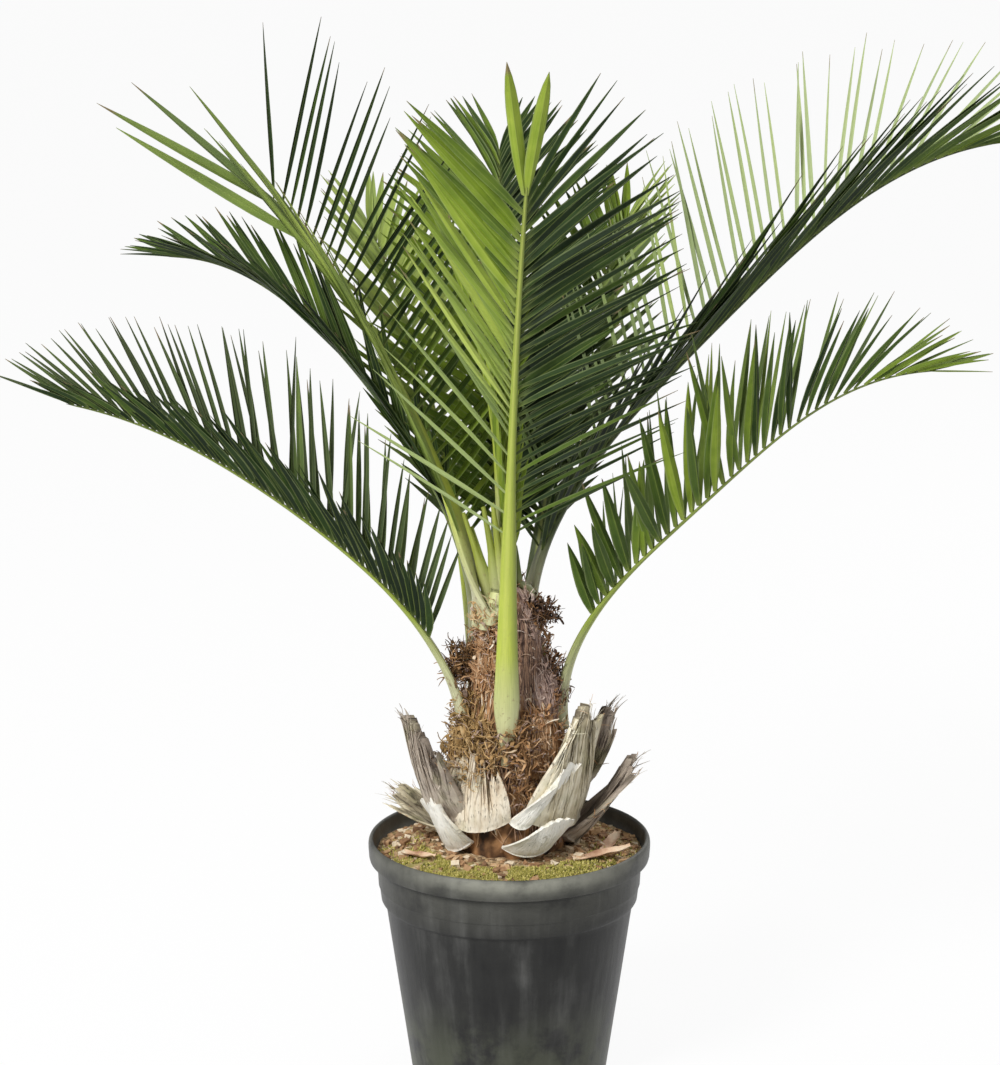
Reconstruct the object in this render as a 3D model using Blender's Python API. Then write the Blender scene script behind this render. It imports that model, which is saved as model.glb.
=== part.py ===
"""Chilean wine palm (Jubaea chilensis), young plant in a round nursery pot.

Metres, +Z up, front of the plant towards -Y. The pot stands on Z = 0.
"""
import math

import bmesh
import bpy
import numpy as np

# ---------------------------------------------------------------- driving dimensions
GAP = 0.0003            # clearance between touching pieces
ROUND = 48              # facets round the pot and the mix

POT_HEIGHT = 0.260
POT_RIM_R = 0.150
POT_BASE_R = 0.1055
POT_WALL = 0.0024
POT_FLOOR = 0.0040
LIP_HEIGHT = 0.023      # height of the thick lip at the rim
COLLAR_HEIGHT = 0.045   # band under the lip, proud of the body
DRAIN_HOLES = 6
DRAIN_R = 0.0060
DRAIN_CIRCLE_R = 0.068

MIX_TOP = 0.2550        # level of the potting mix at the stem
MIX_FALL = 0.0115       # how far it drops towards the wall
MIX_EDGE_R = 0.1418     # inside of the pot where the mix meets the wall
MIX_EDGE_Z = 0.2425
MIX_RINGS = (0.086, 0.102, 0.115, 0.127, 0.1370)    # radii where the mix surface has a ring

STEM_PROFILE = [        # height, radius of the stem core
    (0.215, 0.040), (0.230, 0.052), (0.245, 0.0585), (0.262, 0.0620), (0.282, 0.0640),
    (0.306, 0.0640), (0.332, 0.0620), (0.360, 0.0575), (0.390, 0.0500), (0.420, 0.0425),
    (0.450, 0.0360), (0.480, 0.0310), (0.510, 0.0260), (0.528, 0.0170), (0.535, 0.0060),
]

# Old leaf bases: direction, foot height, length, half angle, flare, thickness, taper to the tip,
# rise of the far edge, turn of the tip
BOOTS = {
    "boot_white_left":   (214, 0.2554, 0.058, 24, 0.028, 0.0120, 0.55, 0.000, 0),
    "boot_white_front":  (291, 0.2554, 0.042, 28, 0.022, 0.0150, 0.40, 0.010, 6),
    "boot_spiked_right": (355, 0.2554, 0.092, 23, 0.060, 0.0115, 0.65, 0.000, 0),
    "boot_low_back":     (59, 0.2554, 0.085, 36, 0.036, 0.0110, 0.70, 0.000, 0),
    "boot_low_far":      (117, 0.2554, 0.080, 20, 0.034, 0.0100, 0.70, 0.000, 0),
    "boot_low_left":     (163, 0.2554, 0.056, 22, 0.052, 0.0110, 0.50, 0.000, 0),
    "boot_tan_front":    (236, 0.2900, 0.078, 33, 0.014, 0.0120, 0.50, 0.000, 0),
    "boot_slice_right":  (286, 0.2900, 0.044, 16, 0.018, 0.0120, 0.40, 0.010, 3),
    "boot_grey_right":   (325, 0.2900, 0.128, 22, 0.048, 0.0140, 0.25, 0.000, 0),
    "boot_back_right":   (22, 0.2900, 0.094, 27, 0.052, 0.0105, 0.60, 0.000, 0),
    "boot_back":         (95, 0.2900, 0.110, 34, 0.046, 0.0105, 0.60, 0.000, 0),
    "boot_grey_left":    (175, 0.2900, 0.100, 26, 0.050, 0.0120, 0.25, 0.000, 0),
}

BOOT_ARCH = 0.010       # how much the foot of a leaf base curves up at its sides

# Woven fibre left between the petioles: from, to (direction), foot, top, outer radius
FIBRE_MATS = {
    "fibre_mat_left": (184, 256, 0.428, 0.503, 0.0440),
    "fibre_mat_right": (284, 340, 0.428, 0.512, 0.0440),
    "fibre_skirt_left": (182, 243, 0.340, 0.3935, 0.0680),
    "fibre_skirt_right": (292, 331, 0.352, 0.420, 0.0660),
}

FROND_COLUMNS = (
    "seat", "azimuth", "on_side", "height", "rise", "fall", "bend", "wave", "length", "bare", "sway",
    "roll", "pairs", "leaflet", "start", "lift_l", "lift_r", "open0", "open1", "curl", "taper",
    "thick", "clasp", "foot",
)
FRONDS = {
    "frond_front": (267, 274, 1, 0.357, 91.6, 64.0, 0.70, 0, 0.645, 0.39, 3.9,
                    0, 36, 0.196, 0.93, 9, 27, 64, 19, 5.0, 0.22, 0.0110, 0.90, 0.30),
    "frond_upper_left": (208, 158.2, 1, 0.507, 79.1, 42.3, 1.017, -1.6, 0.498, 0.16, 0,
                         -29, 32, 0.245, 0.60, 37, 12, 66, 41, 5.0, 0.10, 0.0105, 0.35, 1.00),
    "frond_upper_right": (60, 10.5, 1, 0.460, 98.8, 6.9, 0.753, -11.75, 0.769, 0.22, 0,
                          0, 36, 0.225, 0.55, 50, 20, 58, -4, 5.0, 0.32, 0.0090, 0.50, 1.00),
    "frond_lower_left": (205, 184.1, 1, 0.398, 83.2, 12.6, 0.653, -4.6, 0.545, 0.17, 0,
                         0, 31, 0.175, 0.60, 58, 84, 52, 16, 3.0, 0.50, 0.0078, 0.30, 1.00),
    "frond_lower_right": (345, 345, 1, 0.384, 102, 4.7, 0.76, -14, 0.585, 0.23, 0,
                          0, 30, 0.162, 0.55, 64, 54, 54, 2, 3.0, 0.45, 0.0078, 0.25, 1.00),
    "frond_mid_left": (152, 154.3, 1, 0.445, 101, -3.4, 1.00, -9.7, 0.602, 0.25, 0,
                       0, 30, 0.135, 0.55, 26, 76, 22, 8, 4.0, 0.50, 0.0080, 0.40, 1.00),
    "spear_leaf": (150, 150, 0, 0.5367, 83, 61, 3.00, 1.2, 0.356, 0.30, 0,
                   0, 16, 0.100, 0.55, 50, 50, 18, 9, 2.0, 0.40, 0.0045, 0.50, 1.00),
    "frond_back": (106, 90, 1, 0.465, 86, 28, 0.80, 0, 0.620, 0.34, 0,
                   0, 26, 0.175, 0.60, 30, 30, 62, 15, 4.0, 0.40, 0.0088, 0.50, 1.00),
    "frond_back_left": (128, 114, 1, 0.398, 86, 34, 0.80, 0, 0.580, 0.38, 0,
                        0, 24, 0.150, 0.60, 35, 35, 58, 14, 4.0, 0.40, 0.0080, 0.50, 1.00),
    "frond_back_right": (76, 66, 1, 0.398, 86, 36, 0.80, 0, 0.580, 0.38, 0,
                         0, 24, 0.150, 0.60, 35, 35, 58, 14, 4.0, 0.40, 0.0080, 0.50, 1.00),
}
STEEPEST = 95.0         # a petiole never leans further back than this
RING_STEP = 0.026       # spacing of rings on the bare petiole
SHEATH_LENGTH = 0.30    # length over which a petiole widens to its foot
PINCH_LENGTH = 0.075    # length over which a clasping foot narrows again
BLADE_WIDTH = 0.0095    # widest leaflet blade
BLADE_THICK = 0.0022
BLADE_MID = 0.42        # share of its length where a blade is widest
MIN_KEPT = 0.40         # a leaflet cut shorter than this share is left out

# Dry leaf scraps on the mix: x, y, length, width, turn
SCRAPS = {
    "leaf_scrap_long": (0.098, -0.052, 0.060, 0.0120, 24),
    "leaf_scrap_right": (0.106, -0.004, 0.048, 0.0100, 78),
    "leaf_scrap_left": (-0.094, -0.050, 0.044, 0.0110, -38),
}
MOSS = (222, 313, 0.1080, 0.1335, 0.0040)   # from, to, inner radius, outer radius, height

MATERIALS = {           # base colour, roughness
    "pot_plastic": ((0.030, 0.032, 0.034), 0.42),
    "potting_mix": ((0.120, 0.080, 0.045), 0.95),
    "moss": ((0.200, 0.230, 0.050), 0.95),
    "dry_leaf": ((0.550, 0.330, 0.200), 0.80),
    "stem_bark": ((0.200, 0.120, 0.070), 0.90),
    "boot_pale": ((0.620, 0.530, 0.400), 0.80),
    "boot_weathered": ((0.340, 0.280, 0.220), 0.85),
    "fibre_orange": ((0.380, 0.190, 0.090), 0.90),
    "fibre_dark": ((0.110, 0.075, 0.055), 0.90),
    "frond_green": ((0.070, 0.160, 0.035), 0.45),
    "frond_lime": ((0.260, 0.400, 0.060), 0.45),
}
WORLD_UP = np.array([0.0, 0.0, 1.0])


# ---------------------------------------------------------------- shared helpers
def clear_scene():
    for obj in list(bpy.data.objects):
        bpy.data.objects.remove(obj, do_unlink=True)


def material(slot):
    found = bpy.data.materials.get(slot)
    if found:
        return found
    colour, rough = MATERIALS[slot]
    made = bpy.data.materials.new(slot)
    made.use_nodes = True
    shader = made.node_tree.nodes["Principled BSDF"]
    shader.inputs["Base Color"].default_value = (*colour, 1.0)
    shader.inputs["Roughness"].default_value = rough
    return made


def add_object(name, verts, faces, slot):
    """One closed body with outward normals."""
    mesh = bpy.data.meshes.new(name)
    mesh.from_pydata([tuple(map(float, v)) for v in verts], [], faces)
    body = bmesh.new()
    body.from_mesh(mesh)
    bmesh.ops.recalc_face_normals(body, faces=body.faces)
    body.to_mesh(mesh)
    body.free()
    mesh.materials.append(material(slot))
    obj = bpy.data.objects.new(name, mesh)
    bpy.context.collection.objects.link(obj)
    return obj


def unit(v):
    return v / np.linalg.norm(v, axis=-1, keepdims=True)


def polar(degrees, radius, height):
    turn = math.radians(degrees)
    return (radius * math.cos(turn), radius * math.sin(turn), height)


def lathe(profile, sides):
    """Closed loop of (radius, height) turned about Z; radius 0 gives a pole."""
    verts, rings = [], []
    for radius, height in profile:
        if radius == 0:
            rings.append([len(verts)])
            verts.append((0.0, 0.0, height))
            continue
        rings.append(list(range(len(verts), len(verts) + sides)))
        verts += [polar(360 * k / sides, radius, height) for k in range(sides)]
    faces = []
    for low, high in zip(rings, rings[1:] + rings[:1]):
        faces += bridge(low, high, sides)
    return verts, faces


def bridge(low, high, sides):
    if len(low) == 1 and len(high) == 1:
        return []
    faces = []
    for k in range(sides):
        j = (k + 1) % sides
        if len(low) == 1:
            faces.append((low[0], high[k], high[j]))
        elif len(high) == 1:
            faces.append((low[k], low[j], high[0]))
        else:
            faces.append((low[k], low[j], high[j], high[k]))
    return faces


def closed_sheet(outer, inner):
    """Solid between two grids of points with the same number of rows and columns."""
    rows, cols = len(outer), len(outer[0])
    verts = [p for row in outer for p in row] + [p for row in inner for p in row]
    back = rows * cols
    faces = []
    for i in range(rows - 1):
        for j in range(cols - 1):
            a, b = i * cols + j, i * cols + j + 1
            c, d = b + cols, a + cols
            faces.append((a, b, c, d))
            faces.append((a + back, d + back, c + back, b + back))
    rim = [j for j in range(cols)]
    rim += [i * cols + cols - 1 for i in range(1, rows)]
    rim += [(rows - 1) * cols + j for j in range(cols - 2, -1, -1)]
    rim += [i * cols for i in range(rows - 2, 0, -1)]
    for a, b in zip(rim, rim[1:] + rim[:1]):
        faces.append((a, a + back, b + back, b))
    return verts, faces


def stem_radius(height):
    heights = [h for h, _ in STEM_PROFILE]
    radii = [r for _, r in STEM_PROFILE]
    return float(np.interp(height, heights, radii))


def clear_radius(height, reach=0.0):
    """Radius just off the facets of the stem, within the given reach up and down."""
    near = max(stem_radius(height + step) for step in (-reach, 0.0, reach))
    return near + GAP + 0.0002


# ---------------------------------------------------------------- pot and mix
def pot_outer():
    lip = POT_HEIGHT - LIP_HEIGHT
    collar = lip - COLLAR_HEIGHT
    return [
        (0.0, 0.0), (DRAIN_CIRCLE_R - 0.014, 0.0), (DRAIN_CIRCLE_R + 0.015, 0.0),
        (POT_BASE_R - 0.003, 0.0), (POT_BASE_R, 0.003),
        (0.1318, collar - 0.004), (0.1366, collar), (0.1408, lip - 0.002),
        (0.1478, lip), (POT_RIM_R - 0.0006, lip + 0.004), (POT_RIM_R, POT_HEIGHT - 0.006),
        (POT_RIM_R - 0.0012, POT_HEIGHT - 0.0015), (POT_RIM_R - 0.0036, POT_HEIGHT),
    ]


def pot_inner():
    """Inside wall from the rim down to the floor."""
    return [
        (POT_RIM_R - 0.0055, POT_HEIGHT - 0.0018), (0.1440, POT_HEIGHT - 0.0115),
        (0.1432, 0.2455), (MIX_EDGE_R, MIX_EDGE_Z), (0.1386, 0.2385), (0.1338, 0.1950), (0.1292, 0.1905),
        (POT_BASE_R - POT_WALL, POT_FLOOR + 0.003), (POT_BASE_R - 0.0054, POT_FLOOR),
        (DRAIN_CIRCLE_R + 0.015, POT_FLOOR), (DRAIN_CIRCLE_R - 0.014, POT_FLOOR), (0.0, POT_FLOOR),
    ]


def drain_cutters():
    cutters = []
    for k in range(DRAIN_HOLES):
        x, y, _ = polar(33.7 + 360 * k / DRAIN_HOLES, DRAIN_CIRCLE_R, 0)
        bpy.ops.mesh.primitive_cylinder_add(vertices=10, radius=DRAIN_R, depth=0.02, location=(x, y, 0.002))
        cutters.append(bpy.context.object)
    return cutters


def cut(target, cutter):
    """Subtract, apply, and drop the cutter."""
    cutter.hide_render = True
    cutter.display_type = 'WIRE'
    step = target.modifiers.new("cut", 'BOOLEAN')
    step.operation = 'DIFFERENCE'
    step.solver = 'EXACT'
    step.object = cutter
    bpy.context.view_layer.objects.active = target
    bpy.ops.object.modifier_apply(modifier=step.name)
    bpy.data.objects.remove(cutter, do_unlink=True)


def build_pot():
    verts, faces = lathe(pot_outer() + pot_inner(), ROUND)
    pot = add_object("pot", verts, faces, "pot_plastic")
    for cutter in drain_cutters():
        cut(pot, cutter)


def mix_height(degrees, radius):
    """Level of the mix: flat round the stem, then falling to the wall, a little uneven."""
    turn = math.radians(degrees)
    rough = 0.0010 * math.sin(3 * turn + 40 * radius) + 0.0008 * math.sin(7 * turn - 55 * radius)
    share = min(max((radius - MIX_RINGS[0]) / (MIX_RINGS[-1] - MIX_RINGS[0]), 0.0), 1.0)
    return MIX_TOP - MIX_FALL * share + rough * min(4 * share, 1.0)


def mix_surface(degrees, radius):
    """Level of the faceted surface between its rings and spokes."""
    step = 360 / ROUND
    spoke = math.floor(degrees / step) * step
    levels = []
    for turn in (spoke, spoke + step):
        levels.append(np.interp(radius, MIX_RINGS, [mix_height(turn, r) for r in MIX_RINGS]))
    share = (degrees - spoke) / step
    return float(levels[0] * (1 - share) + levels[1] * share)


def level_near(x, y):
    """Highest level of the mix within a few millimetres of a point."""
    radius = math.hypot(x, y)
    degrees = math.degrees(math.atan2(y, x))
    return max(mix_surface(degrees + d, radius + e) for d in (-1, 0, 1) for e in (-0.002, 0, 0.002))


def build_mix():
    shrink = GAP / math.cos(math.pi / ROUND)
    wall = [(r - shrink, h) for r, h in pot_inner() if POT_FLOOR + 0.001 < h <= MIX_EDGE_Z]
    pocket = [(r + GAP + 0.0002, h) for h, r in STEM_PROFILE if h < MIX_TOP - 0.001]
    foot_z, foot_r = STEM_PROFILE[0]
    pocket.insert(0, (foot_r + GAP + 0.0002, foot_z - GAP))
    floor = POT_FLOOR + GAP
    profile = [(0.0, floor), (POT_BASE_R - 0.0056, floor)]
    profile += wall[::-1]
    tops = [*MIX_RINGS[::-1], stem_radius(MIX_TOP) + GAP + 0.0002]
    start = len(profile)
    profile += [(r, MIX_TOP) for r in tops]
    profile += pocket[::-1]
    profile.append((0.0, foot_z - GAP))
    verts, faces = lathe(profile, ROUND)
    first = 1 + (start - 1) * ROUND
    for ring, radius in enumerate(tops[:-1]):
        for k in range(ROUND):
            index = first + ring * ROUND + k
            x, y, _ = verts[index]
            verts[index] = (x, y, mix_height(360 * k / ROUND, radius))
    add_object("potting_mix", verts, faces, "potting_mix")


def build_moss():
    start, end, inner, outer, height = MOSS
    rows, cols = 4, 25
    top, under = [], []
    for i in range(rows):
        radius = inner + (outer - inner) * i / (rows - 1)
        above, below = [], []
        for j in range(cols):
            turn = start + (end - start) * j / (cols - 1)
            pinch = math.sin(math.pi * j / (cols - 1)) ** 0.5
            mid = (inner + outer) / 2
            r = mid + (radius - mid) * (0.35 + 0.65 * pinch)
            rise = height * (0.45 + 0.3 * math.sin(j * 2.1 + i) ** 2) * (0.5 if i in (0, rows - 1) else 1.0)
            x, y, _ = polar(turn, r, 0.0)
            floor = level_near(x, y) + GAP
            above.append(polar(turn, r, floor + 0.0008 + rise))
            below.append(polar(turn, r, floor))
        top.append(above)
        under.append(below)
    add_object("moss_mat", *closed_sheet(top, under), "moss")


def build_scrap(name, x, y, length, width, turn):
    """A curled strip of dry leaf lying on the mix."""
    along = np.array([math.cos(math.radians(turn)), math.sin(math.radians(turn)), 0.0])
    side = np.array([-along[1], along[0], 0.0])
    under = []
    for i in range(7):
        share = i / 6
        half = width / 2 * (0.35 + 0.65 * math.sin(math.pi * (0.12 + 0.8 * share)))
        centre = np.array([x, y, 0.0]) + along * length * (share - 0.5)
        row = []
        for j in range(4):
            across = j / 1.5 - 1
            p = centre + side * half * across
            row.append((p[0], p[1], 0.0065 * share ** 2 + 0.0022 * across ** 2))
        under.append(row)
    rest = GAP + max(level_near(a, b) - c for row in under for a, b, c in row)
    under = [[(a, b, c + rest) for a, b, c in row] for row in under]
    top = [[(a, b, c + 0.0012) for a, b, c in row] for row in under]
    add_object(name, *closed_sheet(top, under), "dry_leaf")


# ---------------------------------------------------------------- stem, boots, fibre
def build_stem():
    profile = [(0.0, STEM_PROFILE[0][0])] + [(r, h) for h, r in STEM_PROFILE]
    profile.append((0.0, STEM_PROFILE[-1][0] + 0.001))
    verts, faces = lathe(profile, 32)
    add_object("stem", verts, faces, "stem_bark")


def build_boot(name, azimuth, foot, length, half_angle, flare, thick, point, tilt, skew):
    """A leaf base: clasping at the foot, flaring outwards, narrowing to a broken tip."""
    rows, cols = 8, 7
    outer, inner = [], []
    for i in range(rows):
        v = i / (rows - 1)
        half = half_angle * (1 - point * v ** 1.8)
        out_row, in_row = [], []
        for j in range(cols):
            u = 2 * j / (cols - 1) - 1
            ragged = 0.006 * math.sin(5.1 * j + azimuth) * v if 0 < j < cols - 1 else 0.0
            height = foot + length * v * (1 - 0.16 * v * abs(u) ** 1.5) + (ragged if i == rows - 1 else 0.0)
            height += BOOT_ARCH * (1 - v) ** 2 * u * u + tilt * (1 + u) / 2
            lean = flare * max((v - 0.05) / 0.95, 0.0) ** 0.8
            skin = thick * (1 - 0.62 * v) * (0.42 + 0.58 * math.cos(u * math.pi / 2)) + 0.0012
            inside = clear_radius(height) + lean
            turn = azimuth + half * u + skew * v
            in_row.append(polar(turn, inside, height))
            out_row.append(polar(turn, inside + skin, height))
        outer.append(out_row)
        inner.append(in_row)
    pale = any(word in name for word in ("white", "tan", "slice"))
    add_object(name, *closed_sheet(outer, inner), "boot_pale" if pale else "boot_weathered")


def build_fibre(name, start, end, foot, top, outside):
    """A wad of woven fibre against the stem with a torn upper edge."""
    rows, cols = 6, 8
    outer, inner = [], []
    for i in range(rows):
        v = i / (rows - 1)
        out_row, in_row = [], []
        for j in range(cols):
            u = j / (cols - 1)
            torn = -0.014 * (j % 2) * v ** 4
            height = foot + (top - foot) * v + torn
            swell = 0.0016 * math.sin(2.7 * i + 4.3 * j)
            near = clear_radius(height, 0.004 if i else 0.0)
            edge = 0.35 + 0.65 * math.sin(math.pi * (0.1 + 0.8 * u))
            reach = max(near + 0.002, near + (outside - near) * edge + swell - 0.004 * v)
            turn = start + (end - start) * u
            in_row.append(polar(turn, near, height))
            out_row.append(polar(turn, reach, height))
        outer.append(out_row)
        inner.append(in_row)
    slot = "fibre_orange" if name.endswith("left") else "fibre_dark"
    add_object(name, *closed_sheet(outer, inner), slot)


# ---------------------------------------------------------------- fronds
def frond_settings(name):
    return dict(zip(FROND_COLUMNS, FRONDS[name]))


def seat_radius(f):
    """Distance of a petiole foot from the axis: its own half thickness off the stem."""
    if not f["on_side"]:
        return 0.0
    half = rachis_half_height(rachis_half_width(f, 0.0))
    lean = math.radians(min(f["rise"], STEEPEST))
    near = f["height"] + half * math.cos(lean)
    return clear_radius(near) + half * math.sin(lean)


def spine_at(f, shares):
    """Points, tangents, right and up directions of the rachis at the given shares of its length."""
    fine = np.linspace(0, 1, 241)
    rise = f["rise"] + (f["fall"] - f["rise"]) * fine ** f["bend"] + f["wave"] * np.sin(2 * np.pi * fine)
    rise = np.radians(np.minimum(rise, STEEPEST))
    turn = np.radians(f["azimuth"] + f["sway"] * fine)
    out = np.stack([np.cos(turn), np.sin(turn), np.zeros_like(turn)], 1)
    along = np.cos(rise)[:, None] * out + np.sin(rise)[:, None] * WORLD_UP
    up = -np.sin(rise)[:, None] * out + np.cos(rise)[:, None] * WORLD_UP
    right = np.cross(along, up)
    twist = (f["seat"] - f["azimuth"] + 180) % 360 - 180
    roll = np.radians(f["roll"] * fine + twist * np.maximum(0, 1 - fine / 0.2) ** 2)[:, None]
    up, right = np.cos(roll) * up + np.sin(roll) * right, np.cos(roll) * right - np.sin(roll) * up
    steps = unit((along[1:] + along[:-1]) / 2) * f["length"] / 240
    start = np.array(polar(f["seat"], seat_radius(f), f["height"]))
    points = np.vstack([start, start + np.cumsum(steps, 0)])
    return [np.stack([np.interp(shares, fine, a[:, k]) for k in range(3)], 1)
            for a in (points, along, right, up)]


def ring_shares(f):
    """Shares of the length where the rachis has a ring: bare petiole, then one per leaflet pair."""
    count = max(3, round(f["bare"] * f["length"] / RING_STEP))
    petiole = np.linspace(0, f["bare"], count + 1)
    blade = f["bare"] + (1 - f["bare"]) * np.linspace(0, 1, f["pairs"] + 1)[1:] ** 0.97
    return np.concatenate([petiole, blade]), count


def leaflet_length(f, k):
    rise = f["start"] + (1 - f["start"]) * math.sin(min(k / 0.4, 1) * math.pi / 2)
    fall = 1 - f["taper"] * max(0.0, (k - 0.45) / 0.55) ** 1.6
    return f["leaflet"] * rise * fall


def rachis_half_width(f, share):
    """Half width of petiole and rachis: widening to a sheath, narrowed again at the very foot."""
    reach = share * f["length"]
    slim = f["thick"] * (1 - 0.80 * share ** 0.8) + 0.0004
    sheath = 1 + f["clasp"] * max(0.0, 1 - reach / SHEATH_LENGTH) ** 2
    rise = min(reach / PINCH_LENGTH, 1.0)
    pinch = f["foot"] + (1 - f["foot"]) * rise * rise * (3 - 2 * rise)
    return slim * sheath * pinch


def rachis_half_height(half_width):
    return min(0.62 * half_width, 0.0062)


def plan_frond(name):
    """Rings and leaflets of one frond as numbers, before any mesh is made."""
    f = frond_settings(name)
    shares, count = ring_shares(f)
    points, along, right, up = spine_at(f, shares)
    plan = {"f": f, "name": name, "shares": shares, "count": count,
            "points": points, "along": along, "right": right, "up": up, "leaflets": []}
    for i in range(f["pairs"]):
        k = (i + 0.5) / f["pairs"]
        a = count + i
        root = (points[a] + points[a + 1]) / 2
        t, r, u = (unit(x[a] + x[a + 1]) for x in (along, right, up))
        spread = math.radians(f["open0"] + (f["open1"] - f["open0"]) * k ** f["curl"])
        pitch = float(np.linalg.norm(points[a + 1] - points[a]))
        for side, lift in ((-1, f["lift_l"]), (1, f["lift_r"])):
            lift = math.radians(lift)
            outward = math.cos(lift) * side * r + math.sin(lift) * u
            heading = unit(math.cos(spread) * t + math.sin(spread) * outward)
            width = min(BLADE_WIDTH, 0.78 * pitch * math.sin(spread))
            plan["leaflets"].append({
                "ring": a, "side": side, "root": root, "heading": heading, "forward": t,
                "length": leaflet_length(f, k), "width": width, "keep": 1.0,
            })
    return plan


def segment_gaps(p, q, a, b):
    """Distance from the segment pq to each segment ab (rows)."""
    d1, d2, r = q - p, b - a, p - a
    aa = float(d1 @ d1)
    ee = np.einsum("ij,ij->i", d2, d2)
    ff = np.einsum("ij,ij->i", d2, r)
    cc = r @ d1
    bb = d2 @ d1
    den = aa * ee - bb * bb
    s = np.clip(np.where(den > 1e-12, (bb * ff - cc * ee) / np.maximum(den, 1e-12), 0.0), 0, 1)
    t = (bb * s + ff) / ee
    low, high = t < 0, t > 1
    s = np.where(low, np.clip(-cc / aa, 0, 1), np.where(high, np.clip((bb - cc) / aa, 0, 1), s))
    t = np.clip(t, 0, 1)
    return np.linalg.norm(r + s[:, None] * d1 - t[:, None] * d2, axis=1)


def obstacle_rows(plan):
    """Segments and half widths of a finished frond: its rachis and the leaflets kept."""
    rows = []
    points, shares = plan["points"], plan["shares"]
    for i in range(len(points) - 1):
        rows.append((points[i], points[i + 1], rachis_half_width(plan["f"], shares[i])))
    for leaf in plan["leaflets"]:
        if leaf["keep"] > 0:
            tip = leaf["root"] + leaf["heading"] * leaf["length"] * leaf["keep"]
            rows.append((leaf["root"], tip, leaf["width"] / 2))
    return rows


def comb(plans):
    """Shorten or leave out leaflets that would pass through another frond."""
    placed = []
    rachises = {p["name"]: [row for row in obstacle_rows({**p, "leaflets": []})] for p in plans}
    for plan in plans:
        others = [row for name, rows in rachises.items() if name != plan["name"] for row in rows]
        rows = placed + others
        starts = np.array([r[0] for r in rows])
        ends = np.array([r[1] for r in rows])
        halves = np.array([r[2] for r in rows])
        for leaf in plan["leaflets"]:
            leaf["keep"] = longest_clear(leaf, starts, ends, halves)
        placed += obstacle_rows(plan)


def longest_clear(leaf, starts, ends, halves):
    for keep in np.arange(1.0, MIN_KEPT - 0.001, -0.05):
        tip = leaf["root"] + leaf["heading"] * leaf["length"] * keep
        gaps = segment_gaps(leaf["root"], tip, starts, ends)
        if np.all(gaps > halves + leaf["width"] / 2 + 0.0030):
            return float(keep)
    return 0.0


def rachis_ring(plan, i):
    """Six corners round the rachis: right edge, upper pair, left edge, lower pair."""
    w = rachis_half_width(plan["f"], plan["shares"][i])
    h = rachis_half_height(w)
    p, r, u = plan["points"][i], plan["right"][i], plan["up"][i]
    corners = ((1, 0), (0.5, 1), (-0.5, 1), (-1, 0), (-0.5, -1), (0.5, -1))
    return [p + r * w * a + u * h * b for a, b in corners]


def build_frond(plan):
    verts, faces = [], []
    rings = len(plan["points"])
    for i in range(rings):
        verts += rachis_ring(plan, i)
    leaves = {(l["ring"], l["side"]): l for l in plan["leaflets"] if l["keep"] > 0}
    for i in range(rings - 1):
        for c in range(6):
            a, b = 6 * i + c, 6 * i + (c + 1) % 6
            quad = (a, b, b + 6, a + 6)
            side = {0: 1, 2: -1}.get(c)
            leaf = leaves.get((i, side))
            if leaf is None:
                faces.append(quad)
            else:
                add_leaflet(verts, faces, quad, leaf)
    faces.append(tuple(range(6)))
    tip = len(verts)
    verts.append(plan["points"][-1] + plan["along"][-1] * 0.020)
    last = 6 * (rings - 1)
    for c in range(6):
        faces.append((last + c, last + (c + 1) % 6, tip))
    slot = "frond_lime" if plan["name"] == "spear_leaf" else "frond_green"
    add_object(plan["name"], verts, faces, slot)


def add_leaflet(verts, faces, quad, leaf):
    """Blade drawn out of one side face of the rachis: a widest ring, then a point."""
    corners = [verts[k] for k in quad]
    root = sum(corners) / 4
    head = leaf["heading"]
    length = leaf["length"] * leaf["keep"]
    wide = unit(leaf["forward"] - head * float(leaf["forward"] @ head))
    flat = np.cross(head, wide)
    middle = root + head * length * BLADE_MID
    base = len(verts)
    for corner in corners:
        away = corner - root
        s = 1 if away @ wide > 0 else -1
        t = 1 if away @ flat > 0 else -1
        verts.append(middle + wide * s * leaf["width"] / 2 + flat * t * BLADE_THICK / 2)
    verts.append(root + head * length)
    tip = base + 4
    for k in range(4):
        j = (k + 1) % 4
        faces.append((quad[k], quad[j], base + j, base + k))
        faces.append((base + k, base + j, tip))


# ---------------------------------------------------------------- assembly
def main():
    clear_scene()
    build_pot()
    build_mix()
    build_stem()
    for name, row in BOOTS.items():
        build_boot(name, *row)
    for name, row in FIBRE_MATS.items():
        build_fibre(name, *row)
    plans = [plan_frond(name) for name in FRONDS]
    comb(plans)
    for plan in plans:
        build_frond(plan)
    build_moss()
    for name, row in SCRAPS.items():
        build_scrap(name, *row)


main()
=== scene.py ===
"""Looks of a young Chilean wine palm in a nursery pot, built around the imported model."""
import math

import bpy
import numpy as np
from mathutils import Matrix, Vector, noise


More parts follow.
